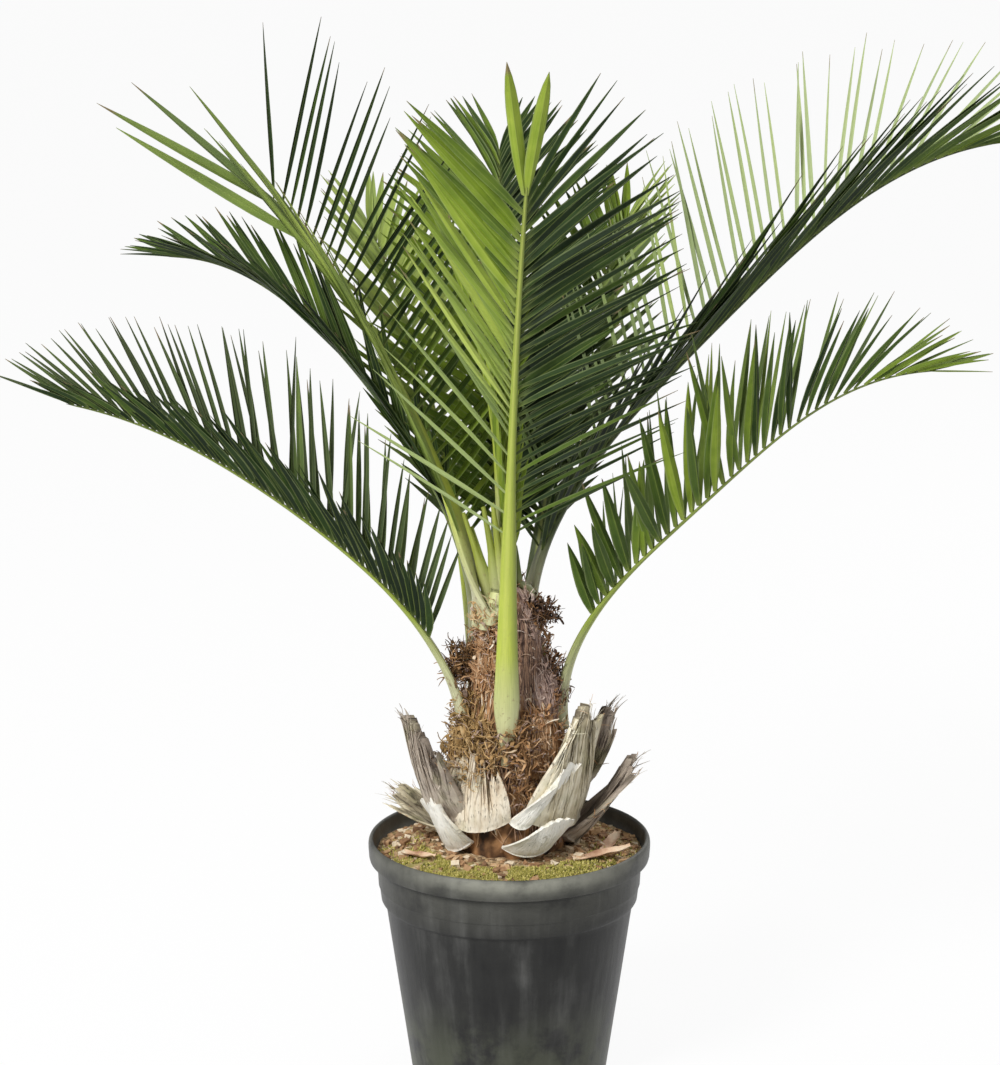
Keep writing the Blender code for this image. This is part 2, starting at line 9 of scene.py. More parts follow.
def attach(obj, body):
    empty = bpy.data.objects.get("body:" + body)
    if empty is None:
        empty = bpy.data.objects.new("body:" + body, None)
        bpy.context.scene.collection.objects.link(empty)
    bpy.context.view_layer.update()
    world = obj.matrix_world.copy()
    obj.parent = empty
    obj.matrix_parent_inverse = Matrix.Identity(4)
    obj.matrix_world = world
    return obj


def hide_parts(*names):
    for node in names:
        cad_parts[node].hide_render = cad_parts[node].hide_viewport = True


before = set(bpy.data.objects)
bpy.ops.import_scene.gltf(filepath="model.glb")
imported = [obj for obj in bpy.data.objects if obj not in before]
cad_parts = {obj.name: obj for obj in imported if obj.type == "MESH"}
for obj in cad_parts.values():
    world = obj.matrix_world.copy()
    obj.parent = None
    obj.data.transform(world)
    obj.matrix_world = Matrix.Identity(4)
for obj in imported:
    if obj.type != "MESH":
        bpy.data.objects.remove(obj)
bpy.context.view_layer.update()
RNG = np.random.default_rng(11)
between, around, chance = RNG.uniform, RNG.normal, RNG.random
BODY = "root"
UP = np.array([0.0, 0.0, 1.0])
FLAT = np.array([1.0, 1.0, 0.0])  # times a direction, lays it flat

# ---------------------------------------------------------------- dimensions and looks, in metres
GAP = 0.0005  # left between the stem and what stands on it
STEM_PROFILE = np.array([  # height, radius
    (0.215, 0.04), (0.23, 0.052), (0.245, 0.0585), (0.262, 0.062), (0.282, 0.064),
    (0.306, 0.064), (0.332, 0.062), (0.36, 0.0575), (0.39, 0.05), (0.42, 0.0425),
    (0.45, 0.036), (0.48, 0.031), (0.51, 0.026), (0.528, 0.017), (0.535, 0.006),
])
STEM_RINGS, STEM_SIDES = 90, 120
STEM_STRANDS = 1200
MIX_TOP = 0.255
MIX_FALL = 0.0115  # drop from the heap round the stem to the wall
MIX_FLAT = 0.086  # radius where the fall starts
MIX_WALL = 0.137
MIX_EDGE = 0.1416
MIX_SIDES = 300
CHIPS_TRIED = 1100  # some of these places are left free
MOSS_TRIED = 9000

# Old leaf bases: direction, foot height, length, half angle, flare, thickness, taper, rise of the
# far edge, turn of the tip, look
BOOTS = {
    "boot_white_left":   (211, 0.2554, 0.058, 23, 0.024, 0.0125, 0.35, 0.0, -3, "white"),
    "boot_white_front":  (291, 0.2554, 0.038, 28, 0.022, 0.015, 0.4, 0.012, 8, "white"),
    "boot_spiked_right": (355, 0.2554, 0.09, 25, 0.06, 0.012, 0.55, 0.0, 0, "grey"),
    "boot_low_back":     (59, 0.2554, 0.085, 36, 0.036, 0.011, 0.7, 0.0, 0, "tan"),
    "boot_low_far":      (117, 0.2554, 0.08, 20, 0.034, 0.01, 0.7, 0.0, 0, "grey"),
    "boot_low_left":     (165, 0.2554, 0.044, 25, 0.05, 0.012, 0.3, 0.0, 0, "straw"),
    "boot_tan_front":    (235, 0.285, 0.078, 36, 0.013, 0.013, 0.4, 0.0, 4, "tan"),
    "boot_slice_right":  (284, 0.283, 0.066, 15, 0.03, 0.011, 0.3, 0.018, 26, "white"),
    "boot_grey_right":   (324, 0.285, 0.122, 42, 0.036, 0.014, 0.5, 0.0, 6, "straw"),
    "boot_back_right":   (22, 0.29, 0.092, 27, 0.052, 0.0105, 0.6, 0.0, 0, "grey"),
    "boot_back":         (95, 0.29, 0.11, 34, 0.046, 0.0105, 0.6, 0.0, 0, "tan"),
    "boot_grey_left":    (200, 0.287, 0.1, 36, 0.046, 0.019, 0.02, 0.0, -8, "grey"),
}
BOOT_ARCH = 0.014  # how far a base's foot rises at its two edges
BOOT_ROWS, BOOT_COLS = 36, 49
BOOT_LOOKS = {  # level, relief, peeling strips
    "white": (0.8, 0.0005, 0), "tan": (0.62, 0.0011, 12), "straw": (0.58, 0.0019, 34),
    "grey": (0.55, 0.0019, 34),
}
HAIRS_PER_BOOT = 20

# Woven fibre between the petioles: from, to (direction), foot, top, outer radius, level, gold, mauve
FIBRE_MATS = {
    "fibre_mat_left": (184, 256, 0.428, 0.503, 0.044, 0.54, 0.0, 0.0),
    "fibre_mat_right": (284, 340, 0.428, 0.512, 0.044, 0.3, 0.0, 0.5),
    "fibre_skirt_left": (182, 243, 0.34, 0.396, 0.069, 0.56, 1.0, 0.0),
    "fibre_skirt_right": (292, 340, 0.34, 0.414, 0.068, 0.58, 0.0, 0.0),
}
# Torn sheaths on the right of the stem, the same way
RAGS = {
    "sheath_rag_right": (306, 356, 0.398, 0.462, 0.06, 0.52, 0.0, 1.0),
    "sheath_rag_upper": (300, 334, 0.456, 0.522, 0.042, 0.5, 0.0, 1.0),
}
MAT_ROWS, MAT_COLS = 16, 26
MAT_STRANDS, MAT_FLAKES = 200, 60
CURL_STEPS = 8

# Matted fibre round the stem: direction, spread, from and to height, nearest and farthest off the
# stem, size of a piece, level, gold, count
TUFTS = (
    (193, 13, 0.434, 0.474, 0.003, 0.03, 0.012, 0.25, 0.3, 430),
    (330, 17, 0.5, 0.52, 0.004, 0.027, 0.011, 0.13, 0.0, 330),
    (338, 16, 0.41, 0.46, 0.003, 0.022, 0.01, 0.22, 0.0, 320),
    (224, 26, 0.478, 0.506, 0.001, 0.009, 0.012, 0.56, 0.0, 260),
    (232, 30, 0.43, 0.5, 0.003, 0.008, 0.014, 0.62, 0.0, 220),
    (215, 30, 0.345, 0.402, 0.004, 0.015, 0.013, 0.52, 1.0, 420),
    (228, 20, 0.338, 0.366, 0.012, 0.021, 0.012, 0.58, 0.9, 160),
    (206, 10, 0.392, 0.424, 0.002, 0.016, 0.012, 0.46, 1.0, 160),
    (316, 24, 0.345, 0.41, 0.003, 0.012, 0.013, 0.56, 0.0, 420),
    (285, 14, 0.31, 0.395, 0.002, 0.009, 0.013, 0.48, 0.2, 360),
    (272, 9, 0.366, 0.404, 0.01, 0.017, 0.013, 0.42, 0.6, 150),
    (254, 6, 0.345, 0.392, 0.006, 0.022, 0.014, 0.52, 0.8, 120),
    (281, 6, 0.345, 0.396, 0.006, 0.022, 0.014, 0.46, 0.2, 140),
    (226, 22, 0.5, 0.522, 0.006, 0.02, 0.011, 0.74, 0.7, 120),
    (30, 60, 0.4, 0.5, 0.001, 0.014, 0.012, 0.42, 0.0, 260),
    (120, 60, 0.4, 0.5, 0.001, 0.014, 0.012, 0.44, 0.2, 260),
)
# The same over the back of the stem's top, and round the feet of the leaves that lean backwards
TOP_TUFT = (95, 62, 0.518, 0.538, 0.002, 0.012, 0.012, 0.5, 0.3, 130)
FOOT_TUFT = (0.002, 0.018, 0.012, 0.46, 0.2, 130)  # from nearest to count
FOOT_SPREAD, FOOT_BELOW, FOOT_ABOVE = 10, 0.017, 0.01
BACK_FEET = ("frond_back", "frond_back_left", "frond_back_right", "frond_mid_left", "frond_upper_right")

# Young leaf bases and sheath margins: direction, from and to height, direction of the tip, radius,
# greenness, least distance of the tip from the axis
YOUNG_SHEATHS = (
    (226, 0.494, 0.622, 204, 0.0104, 0.84, 0.03), (238, 0.5, 0.626, 216, 0.0098, 0.96, 0.022),
    (212, 0.498, 0.6, 190, 0.0074, 0.74, 0.04), (204, 0.494, 0.616, 196, 0.0096, 0.94, 0.05),
    (248, 0.506, 0.6, 236, 0.0064, 0.84, 0.016),
    (30, 0.5, 0.575, 60, 0.007, 0.4, 0.013), (337, 0.388, 0.474, 341, 0.0092, 0.6, 0.013),
)
SHEATH_RINGS, SHEATH_SIDES = 14, 12
TOP_RADIUS = 0.013  # no young base comes nearer to the axis

# Leaves: direction of the foot, direction of the leaf, whether it stands on the stem's side, height
# of its foot, slope at the foot and at the tip, how the slope changes between, a wave in it, length,
# bare share, sideways turn, roll, longest leaflet, its share at the first pair, lift of the left and
# of the right row, opening angle at the first and at the last pair, how late it changes, how far
# leaflets shorten to the tip, half width, widening of the sheath, share of it at the very foot
FROND_COLUMNS = (
    "seat", "azimuth", "on_side", "height", "rise", "fall", "bend", "wave", "length", "bare", "sway",
    "roll", "leaflet", "start", "lift_left", "lift_right", "open0", "open1", "curl", "taper",
    "thick", "clasp", "foot",
)
FRONDS = {
    "frond_front": (267, 274, 1, 0.357, 91.6, 64.0, 0.7, 0, 0.645, 0.39, 3.9,
                    0, 0.196, 0.93, 9, 27, 64, 19, 5.0, 0.22, 0.0114, 0.56, 0.3),
    "frond_upper_left": (208, 158.2, 1, 0.507, 79.1, 42.3, 1.017, -1.6, 0.498, 0.16, 0,
                         -29, 0.245, 0.6, 14, 12, 66, 41, 5.0, 0.1, 0.011, 1.15, 1.0),
    "frond_upper_right": (60, 10.5, 1, 0.46, 98.8, 6.9, 0.753, -11.75, 0.769, 0.22, 0,
                          0, 0.225, 0.55, 50, 34, 58, -4, 5.0, 0.32, 0.009, 0.5, 1.0),
    "frond_lower_left": (205, 184.1, 1, 0.398, 83.2, 12.6, 0.653, -4.6, 0.545, 0.17, 0,
                         0, 0.175, 0.6, 58, 84, 52, 16, 3.0, 0.5, 0.0078, 0.3, 1.0),
    "frond_lower_right": (345, 345, 1, 0.384, 102, 4.7, 0.76, -14, 0.585, 0.23, 0,
                          0, 0.162, 0.55, 64, 54, 54, 2, 3.0, 0.62, 0.0082, 0.4, 1.0),
    "frond_mid_left": (152, 154.3, 1, 0.445, 101, -3.4, 1.0, -9.7, 0.602, 0.25, 0,
                       0, 0.135, 0.55, 26, 76, 22, 8, 4.0, 0.5, 0.008, 0.4, 1.0),
    "spear_leaf": (150, 150, 0, 0.5367, 83, 61, 3.0, 1.2, 0.356, 0.3, 0,
                   0, 0.1, 0.55, 50, 50, 18, 9, 2.0, 0.4, 0.006, 1.5, 1.0),
    "frond_back": (106, 90, 1, 0.465, 86, 28, 0.8, 0, 0.62, 0.34, 0,
                   0, 0.175, 0.6, 30, 30, 62, 15, 4.0, 0.4, 0.0088, 0.5, 1.0),
    "frond_back_left": (128, 114, 1, 0.398, 86, 34, 0.8, 0, 0.58, 0.38, 0,
                        0, 0.15, 0.6, 35, 35, 58, 14, 4.0, 0.4, 0.008, 0.5, 1.0),
    "frond_back_right": (76, 66, 1, 0.398, 86, 36, 0.8, 0, 0.58, 0.38, 0,
                         0, 0.15, 0.6, 35, 35, 58, 14, 4.0, 0.4, 0.008, 0.5, 1.0),
}
STEEPEST = 95.0  # a petiole never leans further back than this
SHEATH_LENGTH = 0.3  # length over which a petiole widens to its foot
PINCH_LENGTH = 0.075  # length over which a clasping foot narrows again
SPINE_STEPS = 240
STALK_RINGS, STALK_SIDES = 72, 14
BLADE_RINGS = 9
BLADE_THICK = 0.0005

# How a leaf looks. Greenness runs from 0 (dark) to 1 (lime), and holds painted light and shade as well as
# the leaf's own green: rows that catch the key lamp are painted lime, rows in shade dark, stalks in shadow
# dark too.
# Paleness mixes in a pale yellow-green, on leaflet rows partly as painted backlight glow. A row's width,
# greenness, paleness and spread can be one value, or four for four places along the leaf. spread is a share
# of the opening angle.
# turn twists the blades, in degrees, and length shortens them. Past fan the row thins out to every
# second leaflet, at looser angles, and before gaps every second one is missing. ragged is how
# uneven the angles are, and fork makes the last pair a broad V.
PLAIN_LOOK = dict(droop=0.03, fork=False, ragged=1.2)
PLAIN_ROW = dict(turn=15, pale_and_backlit=0.0, spread=1.0, fan=1.0, gaps=0.0, length=1.0)
LOOKS = {
    "frond_front": dict(
        pairs=37, bare=0.39, rachis=0.9, ragged=1.1, fork=True,
        left=dict(width=(0.0065, 0.0105, 0.014, 0.0125), green_and_light=(0.26, 0.08, 0.07, 0.26), turn=-14),
        right=dict(width=(0.0042, 0.0064, 0.015, 0.015), green_and_light=(0.66, 0.8, 0.62, 0.42), turn=22,
                   pale_and_backlit=(0.5, 0.15, 0.0, 0.0), spread=(1.0, 0.6, 0.6, 1.5), fan=0.88, gaps=0.3)),
    "frond_upper_left": dict(
        pairs=34, bare=0.16, rachis=1.0, droop=0.02,
        left=dict(width=(0.008, 0.01, 0.014, 0.016), green_and_light=(0.8, 0.78, 0.66, 0.52), turn=20,
                  pale_and_backlit=0.15, spread=(0.13, 0.13, 0.2, 0.7), fan=0.68),
        right=dict(width=(0.01, 0.009, 0.0062, 0.0062), green_and_light=(0.6, 0.5, 0.14, 0.08), turn=20)),
    "frond_upper_right": dict(
        pairs=52, bare=0.13, rachis=0.16, droop=0.02,
        left=dict(width=0.0055, green_and_light=(0.1, 0.56, 0.74, 0.76), turn=20, pale_and_backlit=(0.0, 0.35, 0.8, 0.75)),
        right=dict(width=0.0135, green_and_light=(0.06, 0.06, 0.18, 0.52), turn=10, spread=(0.42, 0.48, 0.62, 1.0))),
    "frond_lower_left": dict(
        pairs=56, bare=0.17, rachis=0.66, ragged=1.4,
        left=dict(width=0.0165, green_and_light=(0.03, 0.02, 0.03, 0.1), spread=(0.6, 0.52, 0.56, 0.9), length=0.66),
        right=dict(width=(0.008, 0.0075, 0.006, 0.005), green_and_light=(0.14, 0.32, 0.12, 0.2), pale_and_backlit=0.1)),
    "frond_lower_right": dict(
        pairs=40, bare=0.22, rachis=0.62, ragged=2.3,
        left=dict(width=(0.0085, 0.01, 0.006, 0.005), green_and_light=(0.2, 0.56, 0.4, 0.6), pale_and_backlit=0.1),
        right=dict(width=(0.016, 0.016, 0.009, 0.007), green_and_light=(0.34, 0.6, 0.22, 0.7))),
    "frond_mid_left": dict(
        pairs=36, bare=0.25, rachis=0.5, ragged=1.5,
        left=dict(width=0.0125, green_and_light=(0.14, 0.12, 0.1, 0.16)),
        right=dict(width=0.0085, green_and_light=(0.3, 0.24, 0.3, 0.36))),
    "spear_leaf": dict(
        pairs=24, bare=0.08, rachis=0.9, droop=0.0, ragged=1.0,
        left=dict(width=0.009, green_and_light=0.72, turn=10), right=dict(width=0.009, green_and_light=0.72, turn=10)),
    "frond_back": dict(
        pairs=44, bare=0.2, rachis=0.3, droop=0.04,
        left=dict(width=0.015, green_and_light=(0.5, 0.6, 0.6, 0.4), turn=5),
        right=dict(width=0.015, green_and_light=(0.1, 0.06, 0.08, 0.16), turn=5)),
    "frond_back_left": dict(
        pairs=38, bare=0.32, rachis=0.86, droop=0.04,
        left=dict(width=0.012, green_and_light=(0.5, 0.86, 0.98, 0.8), turn=10, pale_and_backlit=0.22),
        right=dict(width=0.012, green_and_light=(0.46, 0.8, 0.96, 0.8), turn=10, pale_and_backlit=0.22)),
    "frond_back_right": dict(
        pairs=40, bare=0.3, rachis=0.16, droop=0.04,
        left=dict(width=0.013, green_and_light=(0.06, 0.16, 0.46, 0.62), turn=10),
        right=dict(width=0.013, green_and_light=(0.06, 0.2, 0.6, 0.8), turn=10, pale_and_backlit=0.15)),
}
FORK_SPREAD, FORK_LENGTH = 0.47, 0.91  # shares of a plain leaflet's
FORK_WIDTH, FORK_LIME = 0.015, 0.78


# ---------------------------------------------------------------- small helpers
def unit(v):
    return v / np.linalg.norm(v, axis=-1, keepdims=True)


def clamp(value):
    return np.clip(value, 0, 1)


def even(count):
    """Evenly spaced shares from 0 to 1."""
    return np.linspace(0, 1, count)


def polar(degrees, radius, height):
    turn = np.radians(degrees)
    return np.stack(np.broadcast_arrays(radius * np.cos(turn), radius * np.sin(turn), height), -1)


def stem_radius(height):
    return np.interp(height, STEM_PROFILE[:, 0], STEM_PROFILE[:, 1])


def bumps(points, scale, octaves):
    """Fractal noise about zero at each point of a grid."""
    flat = [noise.fractal(Vector(p) * scale, 0.9, 2.1, octaves) for p in points.reshape(-1, 3)]
    return np.array(flat).reshape(points.shape[:-1])


def ragged_line(xs, scale, seed, finer, octaves):
    """Fractal noise along a line, as one row."""
    return np.array([noise.fractal(Vector((x * scale, seed, 0)), 0.5, finer, octaves) for x in xs])[None]


class Shape:
    """Vertices, faces and per-vertex looks of one piece, gathered part by part."""

    def __init__(self):
        self.verts, self.faces, self.mats = [], [], []
        self.looks = {"leaf": [], "tone": []}
        self.count = 0

    def add(self, verts, faces, leaf, tone=(0, 0, 0), mat=0):
        """Each of the three numbers in leaf and in tone is one value or a grid like that of verts."""
        verts = np.asarray(verts, float)
        for label, look in (("leaf", leaf), ("tone", tone)):
            rows = np.stack([np.broadcast_to(k, verts.shape[:-1]) for k in look], -1)
            self.looks[label].append(rows.reshape(-1, 3))
        self.verts.append(verts.reshape(-1, 3))
        self.faces += [tuple(k + self.count for k in f) for f in faces]
        self.mats += [mat] * len(faces)
        self.count += len(self.verts[-1])

    def build(self, name, materials, slot, replaced=(), crease=60):
        mesh = bpy.data.meshes.new(name)
        mesh.from_pydata(np.concatenate(self.verts).tolist(), [], self.faces)
        for label, rows in self.looks.items():
            data = np.ones((self.count, 4), np.float32)
            data[:, :3] = np.concatenate(rows)
            made = mesh.attributes.new(label, "FLOAT_COLOR", "POINT")
            made.data.foreach_set("color", data.ravel())
        for material in materials:
            mesh.materials.append(material)
        mesh.polygons.foreach_set("material_index", np.array(self.mats, np.int32))
        mesh.polygons.foreach_set("use_smooth", np.ones(len(self.faces), bool))
        mesh.update()
        mesh.set_sharp_from_angle(angle=math.radians(crease))
        piece = bpy.data.objects.new(name, mesh)
        bpy.context.scene.collection.objects.link(piece)
        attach(piece, BODY)
        if replaced:
            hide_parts(*replaced)
        return piece


def grid_faces(rows, cols, wrap=False):
    """Faces between the points of a grid; wrap joins its last column to its first."""
    faces = []
    for i in range(rows - 1):
        for j in range(cols if wrap else cols - 1):
            k = (j + 1) % cols
            faces.append((i * cols + j, i * cols + k, (i + 1) * cols + k, (i + 1) * cols + j))
    return faces


def closed_faces(rows, cols):
    """Faces of a tube with rows rings of cols points, and of its two ends."""
    last = (rows - 1) * cols
    return grid_faces(rows, cols, True) + [tuple(range(cols))[::-1], tuple(range(last, last + cols))]


def tube(points, radii, sides, squash):
    """A closed tube along points; returns a grid of vertices, faces and the share along each ring."""
    points = np.asarray(points, float)
    n = len(points)
    along = unit(np.gradient(points, axis=0))
    ref = np.where(np.abs(along[:, 2:3]) > 0.9, np.array([[1.0, 0, 0]]), UP[None])
    side = unit(np.cross(along, ref))
    over = np.cross(side, along)
    turn = 2 * np.pi * np.arange(sides) / sides
    ring = (side[:, None] * np.cos(turn)[None, :, None]
            + over[:, None] * np.sin(turn)[None, :, None] * squash)
    verts = points[:, None] + ring * np.broadcast_to(radii, n)[:, None, None]
    return verts, closed_faces(n, sides), even(n)[:, None]


def solid_sheet(outer, inner):
    """Closed body between two grids of points, with the face order outward for the outer grid."""
    rows, cols = outer.shape[:2]
    back = rows * cols
    faces = grid_faces(rows, cols)
    faces += [tuple(k + back for k in f[::-1]) for f in faces]
    rim = list(range(cols))
    rim += [i * cols + cols - 1 for i in range(1, rows)]
    rim += [(rows - 1) * cols + j for j in range(cols - 2, -1, -1)]
    rim += [i * cols for i in range(rows - 2, 0, -1)]
    faces += [(b, a, a + back, b + back) for a, b in zip(rim, rim[1:] + rim[:1])]
    return np.stack([outer, inner]), faces


# ---------------------------------------------------------------- materials
class Paint:
    """Short calls for building the nodes of a material or of the world."""

    def __init__(self, owner):
        owner.use_nodes = True
        self.owner = owner
        self.tree = owner.node_tree

    def node(self, kind, values=(), **settings):
        made = self.tree.nodes.new(kind)
        for key, value in settings.items():
            setattr(made, key, value)
        for key, value in dict(values).items():
            self.plug(made.inputs[key], value)
        return made

    def plug(self, socket, value):
        if isinstance(value, bpy.types.NodeSocket):
            self.tree.links.new(value, socket)
        elif isinstance(value, tuple) and len(value) == 3 and socket.type == "RGBA":
            socket.default_value = (*value, 1.0)
        else:
            socket.default_value = value

    def math(self, how, a, b=0.0):
        return self.node("ShaderNodeMath", {0: a, 1: b}, operation=how).outputs[0]

    def plus(self, a, b):
        return self.math("ADD", a, b)

    def less(self, a, b):
        return self.math("SUBTRACT", a, b)

    def times(self, a, b):
        return self.math("MULTIPLY", a, b)

    def vary(self, level, texture, amount):
        """The level, moved up and down by a texture round one half."""
        return self.plus(level, self.times(self.less(texture, 0.5), amount))

    def step(self, value, low, high):
        """0 below low, 1 above high, smooth between."""
        return self.node("ShaderNodeMapRange", {"Value": value, "From Min": low, "From Max": high},
                         interpolation_type="SMOOTHSTEP").outputs[0]

    def below(self, value, low, high):
        """1 below low, 0 above high, smooth between."""
        return self.less(1.0, self.step(value, low, high))

    def mix(self, share, a, b):
        made = self.node("ShaderNodeMix", {"Factor": share}, data_type="RGBA")
        self.plug(made.inputs["A"], a)
        self.plug(made.inputs["B"], b)
        return next(s for s in made.outputs if s.type == "RGBA")

    def tint(self, colour, share, amount, other):
        """The colour, mixed with another by share times amount."""
        return self.mix(self.times(share, amount), colour, other)

    def parts(self, attribute):
        found = self.node("ShaderNodeAttribute", attribute_name=attribute)
        split = self.node("ShaderNodeSeparateColor", {"Color": found.outputs["Color"]})
        return split.outputs[0], split.outputs[1], split.outputs[2]

    def place(self, stretch=(1, 1, 1)):
        coords = self.node("ShaderNodeTexCoord").outputs["Object"]
        return self.node("ShaderNodeMapping", {"Vector": coords, "Scale": stretch}).outputs[0]

    def join(self, x, y, z):
        return self.node("ShaderNodeCombineXYZ", {0: x, 1: y, 2: z}).outputs[0]

    def noise(self, scale, where=None, detail=4.0, rough=0.55):
        made = self.node("ShaderNodeTexNoise", {"Scale": scale, "Detail": detail, "Roughness": rough})
        self.plug(made.inputs["Vector"], where or self.place())
        return made.outputs[0]

    def ramp(self, share, stops):
        made = self.node("ShaderNodeValToRGB", {"Fac": share})
        marks = made.color_ramp.elements
        while len(marks) < len(stops):
            marks.new(0.5)
        for mark, (at, colour) in zip(marks, stops):
            mark.position = at
            mark.color = (*colour, 1.0)
        return made.outputs["Color"]

    def bump(self, height, distance, strength, under=None):
        made = self.node("ShaderNodeBump", {"Height": height, "Distance": distance, "Strength": strength})
        if under is not None:
            self.plug(made.inputs["Normal"], under)
        return made.outputs[0]

    def finish(self, colour, rough, normal=None, specular=0.5):
        shader = self.tree.nodes["Principled BSDF"]
        self.plug(shader.inputs["Base Color"], colour)
        self.plug(shader.inputs["Roughness"], rough)
        self.plug(shader.inputs["Specular IOR Level"], specular)
        if normal is not None:
            self.plug(shader.inputs["Normal"], normal)
        return self.owner

    def blend(self, share, other):
        """Mix the finished shader with another one."""
        shader = self.tree.nodes["Principled BSDF"].outputs[0]
        both = self.node("ShaderNodeMixShader", {0: share, 1: shader, 2: other.outputs[0]})
        self.plug(self.tree.nodes["Material Output"].inputs[0], both.outputs[0])
        return self.owner


def paint(name):
    return Paint(bpy.data.materials.new(name))


def leaf_paint():
    """Leaflet: dark green to yellow-green with painted light and shade per row, pale midrib, a painted
    highlight along the margins, yellow foot, dry tip, fine veins.
    """
    p = paint("leaflet_blade")
    green_and_light, across, along = p.parts("leaf")
    own, dry, pale_and_backlit = p.parts("tone")
    where = p.join(p.times(across, 9.0), p.times(along, 2.5), p.times(own, 60.0))
    streaks = p.noise(1.0, where, 5.0, 0.6)
    blotch = p.noise(38.0, detail=3.0)
    colour = p.ramp(p.vary(p.vary(green_and_light, streaks, 0.34), blotch, 0.3), [
        (0.0, (0.008, 0.02, 0.006)), (0.22, (0.025, 0.054, 0.01)), (0.45, (0.085, 0.145, 0.018)),
        (0.7, (0.215, 0.31, 0.026)), (1.0, (0.46, 0.56, 0.08))])
    off_middle = p.math("ABSOLUTE", p.less(across, 0.5))
    colour = p.tint(colour, p.below(off_middle, 0.018, 0.07), 0.38, (0.3, 0.37, 0.08))
    # painted highlight: a pale line along both margins of each blade
    colour = p.tint(colour, p.step(off_middle, 0.38, 0.46), 0.46, (0.27, 0.33, 0.13))
    foot = p.times(p.below(along, 0.0, 0.12), p.plus(0.18, p.times(green_and_light, 0.62)))
    colour = p.mix(foot, colour, (0.33, 0.4, 0.1))
    # paleness: on leaflet rows partly a painted glow of backlight, mixed into the base colour
    colour = p.mix(pale_and_backlit, colour, (0.6, 0.7, 0.38))
    tip = p.step(p.plus(along, p.times(dry, 0.12)), 0.985, 1.05)
    colour = p.tint(colour, tip, 0.85, (0.3, 0.215, 0.12))
    veins = p.math("SINE", p.times(across, 95.0))
    normal = p.bump(p.plus(p.times(veins, 0.35), streaks), 0.0004, 0.6)
    p.finish(colour, p.plus(0.44, p.times(blotch, 0.18)), normal, specular=0.22)
    glow = p.mix(0.5, colour, (0.42, 0.56, 0.06))
    return p.blend(0.14, p.node("ShaderNodeBsdfTranslucent", {"Color": glow}))


def rachis_paint():
    """Petiole and rachis: pale sheath, yellow-green stalk with painted shade on the half away from the key
    lamp and a painted highlight line along its lit half, green end.
    """
    p = paint("leaf_stalk")
    green_and_light, across, along = p.parts("leaf")
    own, dry, pale_and_backlit = p.parts("tone")
    fibre = p.noise(1.0, p.join(p.times(across, 30.0), p.times(along, 5.0), own), 5.0)
    colour = p.ramp(p.vary(green_and_light, fibre, 0.35), [
        (0.0, (0.024, 0.04, 0.012)), (0.35, (0.1, 0.14, 0.024)), (0.65, (0.28, 0.35, 0.04)),
        (1.0, (0.56, 0.62, 0.08))])
    # painted shade: darkens the half of the stalk that faces away from the key lamp
    colour = p.tint(colour, p.below(across, 0.05, 0.52), 0.5, (0.1, 0.13, 0.028))
    # painted highlight: a pale line along the lit half of the stalk
    off_highlight_line = p.math("ABSOLUTE", p.less(across, 0.62))
    colour = p.tint(colour, p.below(off_highlight_line, 0.03, 0.2), 0.35, (0.62, 0.66, 0.15))
    colour = p.mix(pale_and_backlit, colour, p.mix(fibre, (0.42, 0.38, 0.22), (0.72, 0.71, 0.5)))
    spots = p.step(p.noise(210.0, detail=2.0), 0.6, 0.72)
    colour = p.mix(p.times(spots, p.plus(dry, 0.1)), colour, (0.23, 0.15, 0.08))
    return p.finish(colour, p.plus(0.38, p.times(fibre, 0.15)), p.bump(fibre, 0.0006, 0.7))


def boot_paint(name, pale, middle, dark):
    """Dead leaf base: lengthwise fibre, cracks and stains."""
    p = paint(name)
    level, across, along = p.parts("leaf")
    own, dry, _ = p.parts("tone")
    where = p.join(p.times(across, 16.0), p.times(along, 3.0), p.times(own, 9.0))
    grain = p.noise(1.6, where, 7.0, 0.65)
    stain = p.noise(42.0, detail=5.0, rough=0.6)
    cracks = p.step(p.noise(3.4, where, 3.0), 0.6, 0.68)
    value = p.vary(p.vary(level, grain, 1.1), stain, 0.9)
    colour = p.ramp(value, [(0.1, dark), (0.42, middle), (0.8, pale)])
    colour = p.mix(p.times(cracks, dry), colour, tuple(0.35 * c for c in dark))
    green = p.step(p.noise(26.0, detail=2.0), 0.52, 0.66)
    colour = p.tint(colour, green, 0.25, (0.33, 0.34, 0.14))
    relief = p.bump(p.less(grain, p.times(cracks, 0.8)), 0.0022, 0.9)
    return p.finish(colour, 0.8, p.bump(stain, 0.0015, 0.5, relief))


def fibre_paint():
    """Strands: each its own brown along its length, golden or purplish where the tone says so."""
    p = paint("leaf_base_fibre")
    level = p.parts("leaf")[0]
    _, gold, mauve = p.parts("tone")
    worn = p.noise(120.0, detail=4.0)
    value = p.vary(level, worn, 0.5)
    colour = p.ramp(value, [
        (0.0, (0.034, 0.022, 0.016)), (0.25, (0.16, 0.082, 0.038)), (0.5, (0.44, 0.235, 0.105)),
        (0.72, (0.6, 0.39, 0.22)), (1.0, (0.86, 0.78, 0.62))])
    colour = p.tint(colour, gold, 0.75, p.mix(value, (0.15, 0.092, 0.026), (0.64, 0.44, 0.18)))
    colour = p.tint(colour, mauve, 0.6, p.mix(value, (0.13, 0.085, 0.085), (0.62, 0.52, 0.52)))
    return p.finish(colour, 0.82, p.bump(worn, 0.0006, 0.8), specular=0.25)


